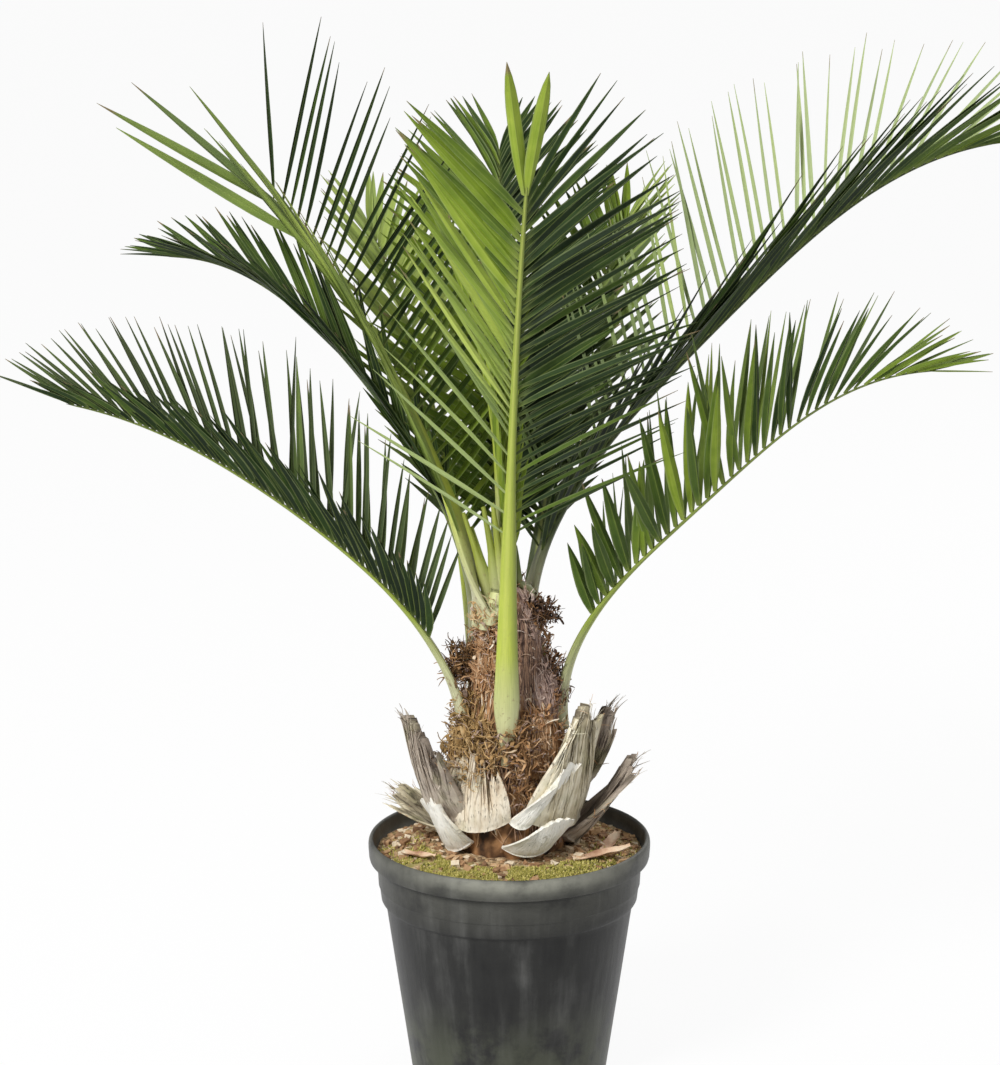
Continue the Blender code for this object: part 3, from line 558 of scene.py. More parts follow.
def pot_paint():
    """Black plastic: upright scuff streaks with painted sheen, dust with a painted highlight on the front
    of the lip, painted shade in the grooves, green-grey bloom low down.
    """
    p = paint("pot_black_plastic")
    level, painted_groove_shade, height = p.parts("leaf")
    # upright streaks: scuffs, and painted sheen where they lighten the black
    scuff_and_sheen_streaks = p.noise(1.0, p.place((60, 60, 2.0)), 4.0, 0.55)
    mottle = p.noise(20.0, detail=6.0, rough=0.62)
    grain = p.noise(900.0, detail=2.0)
    colour = p.ramp(p.plus(p.times(scuff_and_sheen_streaks, 0.6), p.times(mottle, 0.4)), [
        (0.3, (0.011, 0.011, 0.011)), (0.5, (0.022, 0.022, 0.021)), (0.62, (0.046, 0.046, 0.044)),
        (0.74, (0.095, 0.095, 0.09))])
    bloom = p.times(p.below(height, 0.03, 0.12), p.step(mottle, 0.4, 0.6))
    colour = p.tint(colour, bloom, 0.6, (0.082, 0.09, 0.058))
    # dust on collar and lip, plus the painted highlight on the front of the lip
    dust_and_sheen = p.times(level, p.step(mottle, 0.18, 0.6))
    colour = p.tint(colour, dust_and_sheen, 0.85, (0.3, 0.3, 0.25))
    # painted shade: nearly black in the grooves under the lip and the collar
    colour = p.tint(colour, painted_groove_shade, 0.8, (0.006, 0.006, 0.006))
    rough = p.plus(p.plus(0.3, p.times(mottle, 0.2)), p.times(dust_and_sheen, 0.18))
    normal = p.bump(p.plus(grain, p.times(scuff_and_sheen_streaks, 2.5)), 0.0003, 0.8)
    return p.finish(colour, rough, normal, specular=0.22)


def soil_paint():
    """Bark-based mix: crumbs of several browns, with algae where level is high."""
    p = paint("potting_mix_crumbs")
    level = p.parts("leaf")[0]
    crumbs = p.node("ShaderNodeTexVoronoi", {"Scale": 210.0, "Vector": p.place()})
    shade = p.node("ShaderNodeSeparateColor", {"Color": crumbs.outputs["Color"]}).outputs[0]
    fine = p.noise(340.0, detail=5.0)
    colour = p.ramp(p.plus(p.times(shade, 0.7), p.times(fine, 0.45)), [
        (0.15, (0.09, 0.058, 0.03)), (0.45, (0.3, 0.19, 0.095)), (0.7, (0.52, 0.36, 0.195)),
        (0.92, (0.7, 0.55, 0.36))])
    green = p.mix(fine, (0.2, 0.18, 0.045), (0.46, 0.4, 0.13))
    colour = p.mix(p.times(p.step(p.noise(60.0, detail=4.0), 0.4, 0.6), level), colour, green)
    return p.finish(colour, 0.93, p.bump(p.less(fine, crumbs.outputs["Distance"]), 0.0025, 0.9))


def crumb_paint(name, stops, rough):
    """Chips, moss and scraps: a colour of its own for each, from the vertex level."""
    p = paint(name)
    worn = p.noise(260.0, detail=4.0)
    colour = p.ramp(p.vary(p.parts("leaf")[0], worn, 0.55), stops)
    return p.finish(colour, rough, p.bump(worn, 0.0008, 0.8))


LEAF = leaf_paint()
RACHIS = rachis_paint()
FIBRE = fibre_paint()
POT = pot_paint()
SOIL = soil_paint()
BOOT_PAINTS = {
    "white": boot_paint("boot_white_tissue",
                        (0.98, 0.96, 0.88), (0.93, 0.87, 0.73), (0.6, 0.48, 0.34)),
    "tan": boot_paint("boot_tan_husk",
                      (0.86, 0.78, 0.63), (0.72, 0.61, 0.45), (0.29, 0.205, 0.13)),
    "straw": boot_paint("boot_straw_husk",
                        (0.84, 0.78, 0.62), (0.54, 0.47, 0.32), (0.12, 0.095, 0.06)),
    "grey": boot_paint("boot_grey_husk",
                       (0.56, 0.49, 0.4), (0.33, 0.27, 0.215), (0.11, 0.085, 0.066)),
}
MOSS = crumb_paint("moss_cushion", [
    (0.0, (0.09, 0.095, 0.018)), (0.4, (0.29, 0.27, 0.05)), (0.7, (0.48, 0.42, 0.11)),
    (1.0, (0.66, 0.58, 0.23))], 0.95)
CHIPS = crumb_paint("bark_chips", [
    (0.0, (0.08, 0.045, 0.024)), (0.35, (0.29, 0.155, 0.075)), (0.65, (0.54, 0.34, 0.175)),
    (1.0, (0.78, 0.67, 0.5))], 0.9)
SCRAP = crumb_paint("dry_leaf_scrap", [
    (0.0, (0.34, 0.17, 0.095)), (0.45, (0.7, 0.48, 0.32)), (1.0, (0.86, 0.74, 0.56))], 0.7)


# ---------------------------------------------------------------- fronds
def half_width(f, share):
    """Half width of petiole and rachis: a sheath below, narrowed again at the very foot."""
    reach = share * f["length"]
    slim = f["thick"] * (1 - 0.8 * share ** 0.8) + 0.0004
    sheath = 1 + f["clasp"] * np.maximum(0.0, 1 - reach / SHEATH_LENGTH) ** 2
    rise = np.minimum(reach / PINCH_LENGTH, 1.0)
    slim = slim * (1 - 0.3 * clamp((share - f["bare"] + 0.02) / 0.16))
    return slim * sheath * (f["foot"] + (1 - f["foot"]) * rise * rise * (3 - 2 * rise))


def half_height(half):
    return np.minimum(0.62 * half, 0.0062)


def seat_radius(f):
    """Distance of a leaf's foot from the axis: its own half thickness off the stem."""
    if not f["on_side"]:
        return 0.0
    half = float(half_height(half_width(f, np.float64(0.0))))
    lean = math.radians(min(f["rise"], STEEPEST))
    return float(stem_radius(f["height"] + half * math.cos(lean))) + GAP + half * math.sin(lean)


def spine_at(f, shares):
    """Points, tangents, right and up directions of the rachis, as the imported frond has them."""
    fine = even(SPINE_STEPS + 1)
    rise = f["rise"] + (f["fall"] - f["rise"]) * fine ** f["bend"] + f["wave"] * np.sin(2 * np.pi * fine)
    rise = np.radians(np.minimum(rise, STEEPEST))[:, None]
    turn = f["azimuth"] + f["sway"] * fine
    out = polar(turn, 1.0, 0.0)
    along = np.cos(rise) * out + np.sin(rise) * UP
    up = -np.sin(rise) * out + np.cos(rise) * UP
    right = np.cross(along, up)
    twist = (f["seat"] - f["azimuth"] + 180) % 360 - 180
    roll = np.radians(f["roll"] * fine + twist * np.maximum(0, 1 - fine / 0.2) ** 2)[:, None]
    up, right = np.cos(roll) * up + np.sin(roll) * right, np.cos(roll) * right - np.sin(roll) * up
    steps = unit((along[1:] + along[:-1]) / 2) * f["length"] / SPINE_STEPS
    start = polar(f["seat"], seat_radius(f), f["height"])
    points = np.vstack([start, start + np.cumsum(steps, 0)])
    return [np.stack([np.interp(shares, fine, a[:, k]) for k in range(3)], 1)
            for a in (points, along, right, up)]


def blade(shape, root, head, wide, length, width, green_and_light, pale_and_backlit, fold, droop, sweep, twist, point):
    """One folded leaflet: a shallow V in section, pointed, thin and closed."""
    v = even(BLADE_RINGS)[:, None] ** 0.9
    over = np.cross(head, wide)
    centre = root + head * length * v - UP * droop * length * v ** 2 + wide * sweep * length * v ** 2
    rise = 0.42 + 0.58 * np.sin(np.minimum(v / 0.3, 1.0) * np.pi / 2)
    half = width / 2 * rise * (1 - clamp((v - 0.3) / 0.7) ** point) + 0.00025
    turn = np.radians(twist) * v
    w = np.cos(turn) * wide + np.sin(turn) * over
    u = np.cos(turn) * over - np.sin(turn) * wide
    angle = np.radians(fold) * (1 - 0.55 * v)
    skin = BLADE_THICK * (1 - 0.6 * v)
    section = ((-1, 0), (-0.5, 0), (0, 0), (0.5, 0), (1, 0), (0.5, 1), (0, 1.6), (-0.5, 1))
    verts = [centre + w * half * a * np.cos(angle) + u * (half * abs(a) * np.sin(angle) - skin * under)
             for a, under in section]
    across = np.array([0.5 + 0.5 * a for a, _ in section])
    shape.add(np.stack(verts, 1), closed_faces(BLADE_RINGS, len(section)), (green_and_light, across, v),
              (chance(), chance() ** 2, pale_and_backlit))


def stalk(shape, f, look):
    """Petiole and rachis: rounded keel below, shallow channel above."""
    shares = even(STALK_RINGS)[:, None] ** 1.05
    points, along, right, up = spine_at(f, shares[:, 0])
    w = half_width(f, shares)
    h = half_height(w)
    turns = np.linspace(0, 2 * np.pi, STALK_SIDES, endpoint=False)
    rings = []
    for t in turns:
        x = np.sign(np.cos(t)) * abs(np.cos(t)) ** 0.8
        y = np.sin(t) * (0.82 - 0.3 * max(0.0, np.sin(t)) ** 6 if np.sin(t) > 0 else 1.0)
        rings.append(points + right * (w * x) + up * (h * y))
    verts = np.stack(rings, 1)
    tip = points[-1] + along[-1] * 0.004
    verts[-1] = tip + (verts[-1] - points[-1]) * 0.3
    lit = -1 if 90 < f["azimuth"] < 270 else 1
    reach = shares * f["length"]
    foot = clamp(1.15 - reach / 0.105) ** 0.8
    # the stalk's greenness: its own green, painted darker for stalks that stand in shadow
    green_and_light = look["rachis"] * (1 - 0.42 * shares) * (1 - 0.2 * foot)
    leaf = (green_and_light, 0.5 + 0.5 * lit * np.cos(turns), reach * 8)
    tone = (f["seat"] / 36, 0.7 * foot, 0.85 * foot)
    shape.add(verts, closed_faces(STALK_RINGS, STALK_SIDES), leaf, tone, mat=1)


def leaflet_length(f, k):
    """Length at the place k, which runs from 0 at the first pair to 1 at the tip."""
    rise = f["start"] + (1 - f["start"]) * math.sin(min(k / 0.4, 1) * math.pi / 2)
    return f["leaflet"] * rise * (1 - f["taper"] * max(0.0, (k - 0.45) / 0.55) ** 1.6)


def at(value, k):
    """A look along the frond: one value, or four spread evenly from the first pair to the last."""
    return float(np.interp(3 * k, range(4), value)) if isinstance(value, tuple) else value


def leaflets(shape, f, look):
    """Two rows of leaflets, no two of them quite alike."""
    pairs, ragged = look["pairs"], look["ragged"]
    places = (np.arange(pairs) + 0.5) / pairs
    shares = look["bare"] + (1 - look["bare"]) * places ** 0.97
    points, along, right, up = spine_at(f, shares)
    pitch = np.linalg.norm(np.gradient(points, axis=0), axis=1)
    rows = [(side, f["lift_" + tag], {**PLAIN_ROW, **look[tag]})
            for side, tag in ((-1, "left"), (1, "right"))]
    for i, k in enumerate(places):
        fork = look["fork"] and i == pairs - 1
        for side, lift, row in rows:
            fan = k > row["fan"]
            if (fan or k < row["gaps"]) and i % 2:
                continue
            spread = (f["open0"] + (f["open1"] - f["open0"]) * k ** f["curl"]) * at(row["spread"], k)
            if fork:
                spread *= FORK_SPREAD
            spread = math.radians(spread + around(0, 5.0 if fan else 2.2 * ragged))
            rise = math.radians(lift + around(0, 22.0 if fan else 4.0 * ragged))
            outward = math.cos(rise) * side * right[i] + math.sin(rise) * up[i]
            head = unit(math.cos(spread) * along[i] + math.sin(spread) * outward)
            wide = unit(along[i] - head * float(along[i] @ head))
            turn = math.radians(row["turn"] + around(0, 5)) * side
            wide = math.cos(turn) * wide + math.sin(turn) * np.cross(head, wide)
            half = float(half_width(f, shares[i]))
            root = points[i] + right[i] * side * half * 0.75 + up[i] * half * 0.15
            width = min(at(row["width"], k), 1.9 * pitch[i] * math.sin(spread) + 0.0045)
            width = between(0.85, 1.1) * (FORK_WIDTH if fork else width)
            length = leaflet_length(f, k) * between(0.95, 1.03) * row["length"]
            length *= FORK_LENGTH if fork else 1.0
            # greenness: the leaflet's own green with the painted light and shade of its row
            green_and_light = FORK_LIME if fork else clamp(at(row["green_and_light"], k) + around(0, 0.11))
            blade(shape, root, head, wide * side, length, width, green_and_light, at(row["pale_and_backlit"], k),
                  fold=between(32, 50), droop=look["droop"] * between(0.3, 1.6),
                  sweep=around(0, 0.012), twist=around(0, 12), point=3.6 if fork else 1.7)


def build_fronds():
    for name, row in FRONDS.items():
        f = dict(zip(FROND_COLUMNS, row))
        look = {**PLAIN_LOOK, **LOOKS[name]}
        shape = Shape()
        stalk(shape, f, look)
        leaflets(shape, f, look)
        slot = "frond_lime" if name == "spear_leaf" else "frond_green"
        shape.build(name + "_leaf", [LEAF, RACHIS], slot, [name], crease=28)


# ---------------------------------------------------------------- stem, boots and fibre
def fibre(shape, points, radii, sides, squash, level, gold=0.0, mauve=0.0):
    verts, faces, share = tube(points, radii, sides, squash)
    shape.add(verts, faces, (level, 0, share), (chance(), gold, mauve))


def strand(shape, points, radius, *look):
    """A wiry thread that thins out."""
    fibre(shape, points, radius * np.linspace(1.0, 0.45, len(points)), 3, 1.0, *look)


def flake(shape, points, radius, *look):
    """A flat curled shred."""
    radii = radius * np.sin(np.pi * np.linspace(0.15, 0.92, len(points))) ** 0.6
    fibre(shape, points, radii, 5, 0.22, *look)


def build_boot(name, azimuth, foot, length, half_angle, flare, thick, point, tilt, skew, look):
    """A torn leaf base with fibrous relief, splintered tip, curled edges and peeling strips."""
    u = np.linspace(-1, 1, BOOT_COLS)[None]
    v = even(BOOT_ROWS)[:, None]
    level, coarse, strips = BOOT_LOOKS[look]
    seed = azimuth * 0.37
    smooth = look == "white"
    torn = not smooth
    jag = ragged_line(u[0], 4.0, seed, 2.4, 5)
    notch = np.array([abs(noise.noise(Vector((x * 8.0, seed + 5, 0)))) for x in u[0]])[None]
    tear = 0.06 if smooth else 0.5
    reach = v * (1 + np.clip(tear * (jag - 0.9 * notch) + 0.04, -0.45, 0.1))
    half = half_angle * (1 - point * v ** 1.5)
    height = foot + length * reach * (1 - 0.16 * v * abs(u) ** 1.5)
    height = height + BOOT_ARCH * (1 - v) ** 2 * u * u + tilt * (1 + u) / 2
    lean = flare * np.maximum((reach - 0.05) / 0.95, 0) ** 0.8 + 0.01 * jag * v ** 3 * torn
    lean = lean + 0.005 * abs(u) ** 4 * v
    skin = thick * (1 - 0.6 * v) * (0.42 + 0.58 * np.cos(u * np.pi / 2)) + 0.0012
    inside = stem_radius(height) + GAP + lean
    turn = azimuth + half * (u + 0.08 * jag * v * torn) + skew * v
    relief = bumps(np.stack(np.broadcast_arrays(u * 5.0, v * 1.6, seed), -1), 1.0, 5)
    ridges = np.sin(u * 30 + 3 * relief)
    rough = coarse * relief + 0.25 * coarse * torn * ridges
    outer = polar(turn, inside + skin + rough * np.sin(np.pi * clamp(v * 1.3 + 0.15)) ** 0.5, height)
    verts, faces = solid_sheet(outer, polar(turn, inside, height))
    shade = level + 0.2 * (0.4 - v) * torn + (0.12 if smooth else 0.3) * relief
    cut_edge = 0.45 * clamp((-0.62 - u) / 0.12) * (look == "straw")
    darker_inside = np.array([0.0, 0.22])[:, None, None]
    dry = (0.05 if smooth else 0.5) * (0.2 + v)
    shape = Shape()
    leaf = (shade + cut_edge - darker_inside, 0.5 + 0.5 * u, v)
    shape.add(verts, faces, leaf, (azimuth % 17 / 17, dry, 0))
    peel(shape, outer, strips, level)
    slot = "boot_pale" if smooth or name == "boot_tan_front" else "boot_weathered"
    shape.build(name + "_husk", [BOOT_PAINTS[look]], slot, [name])
    return outer


def peel(shape, outer, count, level):
    """Flat strips lying up the outside of a leaf base and curling off beyond its tip."""
    rows, cols = outer.shape[:2]
    for _ in range(count):
        column = between(0.03, 0.97) * (cols - 1)
        start = between(0.0, 0.65) * (rows - 1)
        steps = even(8)
        row = start + (rows - 1 - start) * steps
        drift = np.clip(column + around(0, 3.0) * steps, 0, cols - 1.001)
        i, j = np.clip(row.astype(int), 0, rows - 1), drift.astype(int)
        share = (drift - j)[:, None]
        path = outer[i, j] * (1 - share) + outer[i, np.minimum(j + 1, cols - 1)] * share
        out = unit(path * FLAT)
        path = path + out * (between(0.0, 0.001) + between(0, 0.004) * steps ** 3)[:, None]
        way = unit(unit(path[-1] - path[-2]) + around(0, 0.35, 3))
        ahead = np.linspace(0.25, 1, 4)[:, None] * between(0.002, 0.018)
        loose = path[-1] + way * ahead + out[-1] * ahead ** 2 * between(-10, 40)
        radii = between(0.0005, 0.0015) * np.sin(np.pi * np.linspace(0.12, 0.97, 12)) ** 0.6
        verts, faces, along = tube(np.vstack([path, loose]), radii, 5, 0.35)
        leaf = (level + around(0, 0.22), chance(), along)
        shape.add(verts, faces, leaf, (chance(), 0.3, 0))


def curled(root, way, size):
    """A path that turns steadily about an axis of its own and stays off the stem."""
    axis = unit(around(0, 1, 3))
    turn = np.radians(around(0, 13))
    path = [root]
    for _ in range(CURL_STEPS):
        way = unit(way * math.cos(turn) + np.cross(axis, way) * math.sin(turn) + around(0, 0.11, 3))
        path.append(path[-1] + way * size / CURL_STEPS)
    path = np.array(path)
    clear = stem_radius(path[:, 2]) + 0.001
    path[:, :2] *= np.maximum(1.0, clear / np.linalg.norm(path[:, :2], axis=1))[:, None]
    return path


def build_tufts(rows, back=False):
    """Broken fibre matted round the stem: short curled strands and flakes of torn sheath."""
    shapes = {}
    for azimuth, spread, low, high, near, far, size, level, gold, count in rows:
        part = "back" if back else "left" if 150 < azimuth < 265 else "right"
        shape = shapes.setdefault(part, Shape())
        for _ in range(count):
            turn = azimuth + spread * between(-1, 1)
            z = between(low, high)
            deep = near + (far - near) * chance() ** 1.4
            root = polar(turn, stem_radius(z) + deep, z)
            out = unit(root * FLAT)
            side = np.array([-out[1], out[0], 0.0])
            way = unit(out * around(0.1, 0.4) + side * around(0, 0.6) + UP * around(0.7, 0.8))
            path = curled(root, way, size * between(0.5, 1.5))
            mauve = float(chance() < 0.15)
            shade = level + around(0, 0.15)
            if chance() < 0.42:
                flake(shape, path, between(0.0012, 0.0028), shade + 0.05, gold, mauve)
            else:
                strand(shape, path, between(0.0004, 0.001), shade, gold, mauve)
    for part, shape in shapes.items():
        shape.build("stem_fibre_tufts_" + part, [FIBRE], "stem_bark")


def build_foot_tufts():
    """Fibre round the feet of the leaves behind and over the back of the stem's top."""
    rows = [TOP_TUFT]
    for name in BACK_FEET:
        f = dict(zip(FROND_COLUMNS, FRONDS[name]))
        low, high = f["height"] - FOOT_BELOW, f["height"] + FOOT_ABOVE
        rows.append((f["seat"], FOOT_SPREAD, low, high, *FOOT_TUFT))
    build_tufts(rows, back=True)


def build_young_sheaths():
    """Pale strips of the youngest leaf bases closing over the top of the stem."""
    shape = Shape()
    t = even(SHEATH_RINGS)
    for azimuth, low, high, lean, radius, green_and_light, apart in YOUNG_SHEATHS:
        z = low + (high - low) * t
        reach = stem_radius(z) + 0.003 + 0.006 * (1 - t)
        reach = np.maximum(reach, TOP_RADIUS + (apart - TOP_RADIUS) * t)
        path = polar(azimuth + (lean - azimuth) * t ** 2, reach, z)
        swell = 0.55 + 0.45 * np.sin(np.pi * np.minimum(t * 1.4 + 0.1, 1.0))
        radii = radius * swell * (1 - 0.55 * t ** 2)
        verts, faces, share = tube(path, radii, SHEATH_SIDES, 0.85)
        across = 0.5 + 0.5 * np.cos(2 * np.pi * np.arange(SHEATH_SIDES) / SHEATH_SIDES)
        pale_and_backlit = 0.75 * clamp(1.1 - share / 0.6)
        shape.add(verts, faces, (green_and_light, across, share), (azimuth / 36, pale_and_backlit, pale_and_backlit))
    shape.build("young_leaf_sheaths", [RACHIS], "frond_lime", crease=40)


def loose_hairs(shape, roots, outward, count, length, level):
    """Wiry fibres standing off an edge."""
    for _ in range(count):
        k = RNG.integers(len(roots))
        way = unit(outward[k] * between(0.3, 1.0) + UP * between(0.2, 1.0) + around(0, 0.35, 3))
        bend = around(0, 0.35, 3)
        t = even(7)[:, None]
        size = length * between(0.3, 1.0)
        path = roots[k] + way * size * t + bend * size * t ** 2
        strand(shape, path, between(0.00025, 0.00055), level + around(0, 0.18))


def build_stem():
    """Core of the stem under the bases, wrapped in dark matted fibre."""
    z = np.linspace(STEM_PROFILE[0, 0], STEM_PROFILE[-1, 0], STEM_RINGS)[:, None]
    turns = np.linspace(0, 360, STEM_SIDES, endpoint=False)[None]
    relief = bumps(polar(turns, 0.06, z) * np.array([1, 1, 0.35]), 95.0, 4)
    verts = polar(turns, stem_radius(z) + 0.0011 * relief - 0.0005, z)
    shape = Shape()
    shape.add(verts, closed_faces(STEM_RINGS, STEM_SIDES), (0.3 + 0.5 * relief, 0, 0))
    shape.build("stem_core", [FIBRE], "stem_bark", ["stem"], crease=70)


def build_stem_fibre():
    """Sheets of old sheath fibre criss-crossing over the stem."""
    shape = Shape()
    t = even(9)
    for _ in range(STEM_STRANDS):
        start = between(0, 360)
        low = between(0.262, 0.49)
        high = min(low + between(0.03, 0.09), 0.528)
        slope = RNG.choice([-1, 1]) * between(2, 24)
        z = low + (high - low) * t
        turn = start + slope * t + 2.0 * np.sin(t * between(3, 9) + between(0, 6))
        off = between(0.0002, 0.0022)
        right = 0.5 + 0.5 * math.tanh(3.0 * math.cos(math.radians(start)) - 0.3)
        level = 0.58 - 0.12 * right + around(0, 0.16)
        path = polar(turn, stem_radius(z) + off, z)
        strand(shape, path, between(0.0003, 0.0008), level, 0.0, 0.8 * right)
    shape.build("stem_fibre", [FIBRE], "stem_bark")


def build_fibre_mat(name, start, end, foot, top, outside, level, gold, mauve, replaced):
    """A wad of woven strands with a frayed upper edge."""
    def reach(u, v, near, thinner, least):
        """Radius of the wad: fullest in the middle, thinner at the top."""
        bulge = np.sin(np.pi * (0.03 + 0.94 * u)) ** 0.6 * (1 - thinner * clamp(v) ** 4)
        return np.maximum(near + (outside - near) * bulge - 0.004 * v, near + least)

    u = even(MAT_COLS)[None]
    v = even(MAT_ROWS)[:, None]
    height = foot + (top - foot) * v + 0.026 * ragged_line(u[0], 9, start, 2.3, 4) * v ** 3
    turn = start + (end - start) * u
    near = stem_radius(height) + GAP
    full = reach(u, v, near, 0.75, 0.0015)
    relief = bumps(polar(turn, full, height) * np.array([1, 1, 0.3]), 160.0, 4)
    outer = polar(turn, np.maximum(full - 0.0015 + 0.0016 * relief, near + 0.0008), height)
    shape = Shape()
    shape.add(*solid_sheet(outer, polar(turn, near, height)), (level - 0.15, 0, 0), (0.3, gold, mauve))
    t = even(9)
    for _ in range(MAT_STRANDS):
        across = between(0.02, 0.98)
        low, high = sorted(between(-0.05, 1.0, 2))
        high = min(high + 0.25, 1.02)
        v = low + (high - low) * t
        u = clamp(across + around(0, 0.1) * t + 0.02 * np.sin(9 * t + 9 * across))
        z = foot + (top - foot) * v
        near = stem_radius(z) + GAP
        radius = reach(u, v, near, 0.6, 0.001) + between(-0.0012, 0.001)
        path = polar(start + (end - start) * u, radius, z)
        strand(shape, path, between(0.0003, 0.0007), level + around(0, 0.17), gold, mauve)
    for _ in range(MAT_FLAKES):
        i, j = RNG.integers(MAT_ROWS // 3, MAT_ROWS), RNG.integers(0, MAT_COLS)
        flake(shape, curled(outer[i, j], UP, between(0.01, 0.022)), between(0.001, 0.0024),
              level + around(0.15, 0.15), gold, mauve)
    slot = "fibre_orange" if name.endswith("left") else "fibre_dark"
    shape.build(name + "_woven", [FIBRE], slot, replaced)


def build_trunk():
    """The stem with all its old bases and fibre, in the order in which the random draws run."""
    build_stem()
    build_stem_fibre()
    build_tufts(TUFTS)
    build_young_sheaths()
    hairs = Shape()
    for name, row in BOOTS.items():
        outer = build_boot(name, *row)
        edge = np.concatenate([outer[-1], outer[8:, 0], outer[8:, -1]])
        if row[-1] != "white":
            loose_hairs(hairs, edge, unit(edge * FLAT), HAIRS_PER_BOOT, 0.009, 0.55)
    hairs.build("boot_fibre_ends", [FIBRE], "boot_weathered")
    for name, row in FIBRE_MATS.items():
        build_fibre_mat(name, *row, [name])
    for name, row in RAGS.items():
        build_fibre_mat(name, *row, [])


# ---------------------------------------------------------------- pot, mix, moss, scraps
POT_OUTSIDE = [  # radius, height, from the middle of the foot to the lip
    (0.001, 0.0008), (0.056, 0.0008), (0.058, 0.0), (0.102, 0.0), (0.1045, 0.0008), (0.1055, 0.003),
    (0.1192, 0.0985), (0.1318, 0.188), (0.1325, 0.1902), (0.1338, 0.1914), (0.1358, 0.1919),
    (0.1366, 0.1934), (0.1384, 0.208), (0.1387, 0.2088), (0.1394, 0.2092), (0.1405, 0.231),
    (0.141, 0.2346), (0.1422, 0.2362), (0.147, 0.2367), (0.1485, 0.2377), (0.1492, 0.2403),
    (0.1499, 0.25), (0.1499, 0.254), (0.1495, 0.2566), (0.1486, 0.2586), (0.1474, 0.2597),
    (0.1462, 0.26),
]
POT_INSIDE = [  # and down again to the middle of the floor
    (0.1452, 0.2594), (0.1446, 0.258), (0.144, 0.249), (0.1432, 0.2455), (0.1418, 0.2425),
    (0.1386, 0.2385), (0.1338, 0.195), (0.1292, 0.1905), (0.1031, 0.007),
    (0.1001, 0.004), (0.001, 0.004),
]
POT_SIDES = 192
POT_STEP = 0.004  # longest stretch of the profile between two rings
HOLES = 6
HOLE_RING = 0.068
HOLE_RADIUS = 0.006
FIRST_HOLE = 33.7  # its direction


def build_pot():
    """The turned pot, a little out of round, dusty at its collar and lip, with a painted highlight on the
    front of the lip and painted shade in its two grooves.
    """
    profile = np.array(POT_OUTSIDE + POT_INSIDE)
    fine = [profile[0]]
    for a, b in zip(profile[:-1], profile[1:]):
        cuts = max(1, int(np.linalg.norm(b - a) / POT_STEP))
        fine += [a + (b - a) * (k + 1) / cuts for k in range(cuts)]
    radius, height = np.array(fine).T[..., None]
    turns = np.linspace(0, 360, POT_SIDES, endpoint=False)[None]
    verts = polar(turns, radius, height)
    soft = np.sin(np.radians(turns) * 2 + 0.6) * 0.0009
    share = clamp((height - 0.05) / 0.19) * (radius > 0.11)
    verts = verts + polar(turns, soft * share, 0)
    # painted highlight: a pale band on the lip's outer face, strongest at the front
    lip_highlight = clamp(1.25 - abs(height - 0.2545) / 0.0095) * (radius > 0.147)
    front = 0.15 + 0.75 * clamp(-np.sin(np.radians(turns - 8))) ** 4
    # dust on the collar and lip, plus the painted lip highlight
    dust_and_highlight = clamp((height - 0.185) / 0.05) * 0.22 + lip_highlight * front
    # painted shade in the groove under the lip and the one under the collar
    groove_shade = sum(clamp(1 - abs(height - level) / reach)
                  for level, reach in ((0.2345, 0.0032), (0.1908, 0.0028)))
    shape = Shape()
    shape.add(verts, closed_faces(len(fine), POT_SIDES), (dust_and_highlight, groove_shade * (radius > 0.13), height))
    drill(shape.build("pot_moulded", [POT], "pot_plastic", ["pot"], crease=38))


def drill(pot):
    """Drain holes through the floor."""
    for k in range(HOLES):
        place = polar(FIRST_HOLE + 360 * k / HOLES, HOLE_RING, 0.002)
        bpy.ops.mesh.primitive_cylinder_add(vertices=28, radius=HOLE_RADIUS, depth=0.02, location=place)
        cutter = bpy.context.object
        step = pot.modifiers.new("drain", "BOOLEAN")
        step.solver = "EXACT"
        step.object = cutter
        bpy.context.view_layer.objects.active = pot
        bpy.ops.object.modifier_apply(modifier=step.name)
        bpy.data.objects.remove(cutter, do_unlink=True)


def mix_level(x, y):
    """Height of the loose surface: heaped at the stem, clumpy, falling to the wall."""
    radius = math.hypot(x, y)
    rough = noise.fractal(Vector((x * 70, y * 70, 3)), 0.8, 2.2, 4) * 0.0022
    fall = min(max((radius - MIX_FLAT) / (MIX_WALL - MIX_FLAT), 0.0), 1.0)
    heap = 0.0012 * math.sin(7 * math.atan2(y, x)) * fall
    return MIX_TOP - 0.001 - MIX_FALL * fall + rough + heap


def build_mix():
    """The potting mix: a clumpy top, green with algae in front, and the plug below it."""
    rings = np.concatenate([[0.056], np.linspace(0.062, 0.1398, 54), [MIX_EDGE]])[:, None]
    turns = np.linspace(0, 360, MIX_SIDES, endpoint=False)[None]
    top = polar(turns, rings, 0.0)
    for row in top:
        for point in row:
            point[2] = mix_level(point[0], point[1])
    below = np.array([(0.1372, 0.236), (0.1325, 0.196), (0.1275, 0.188), (0.101, 0.01)])
    verts = np.concatenate([top, polar(turns, below[:, :1], below[:, 1:])])
    faces = [f[::-1] for f in closed_faces(len(verts), MIX_SIDES)]
    front = 0.5 - 0.5 * np.sin(np.radians(turns))
    outer = clamp((np.linalg.norm(verts[..., :2], axis=2) - 0.07) / 0.03)
    algae = clamp(1.25 * front ** 1.5) * outer
    shape = Shape()
    shape.add(verts, faces, (algae, 0, 0))
    shape.build("potting_mix_surface", [SOIL], "potting_mix", ["potting_mix"], crease=80)


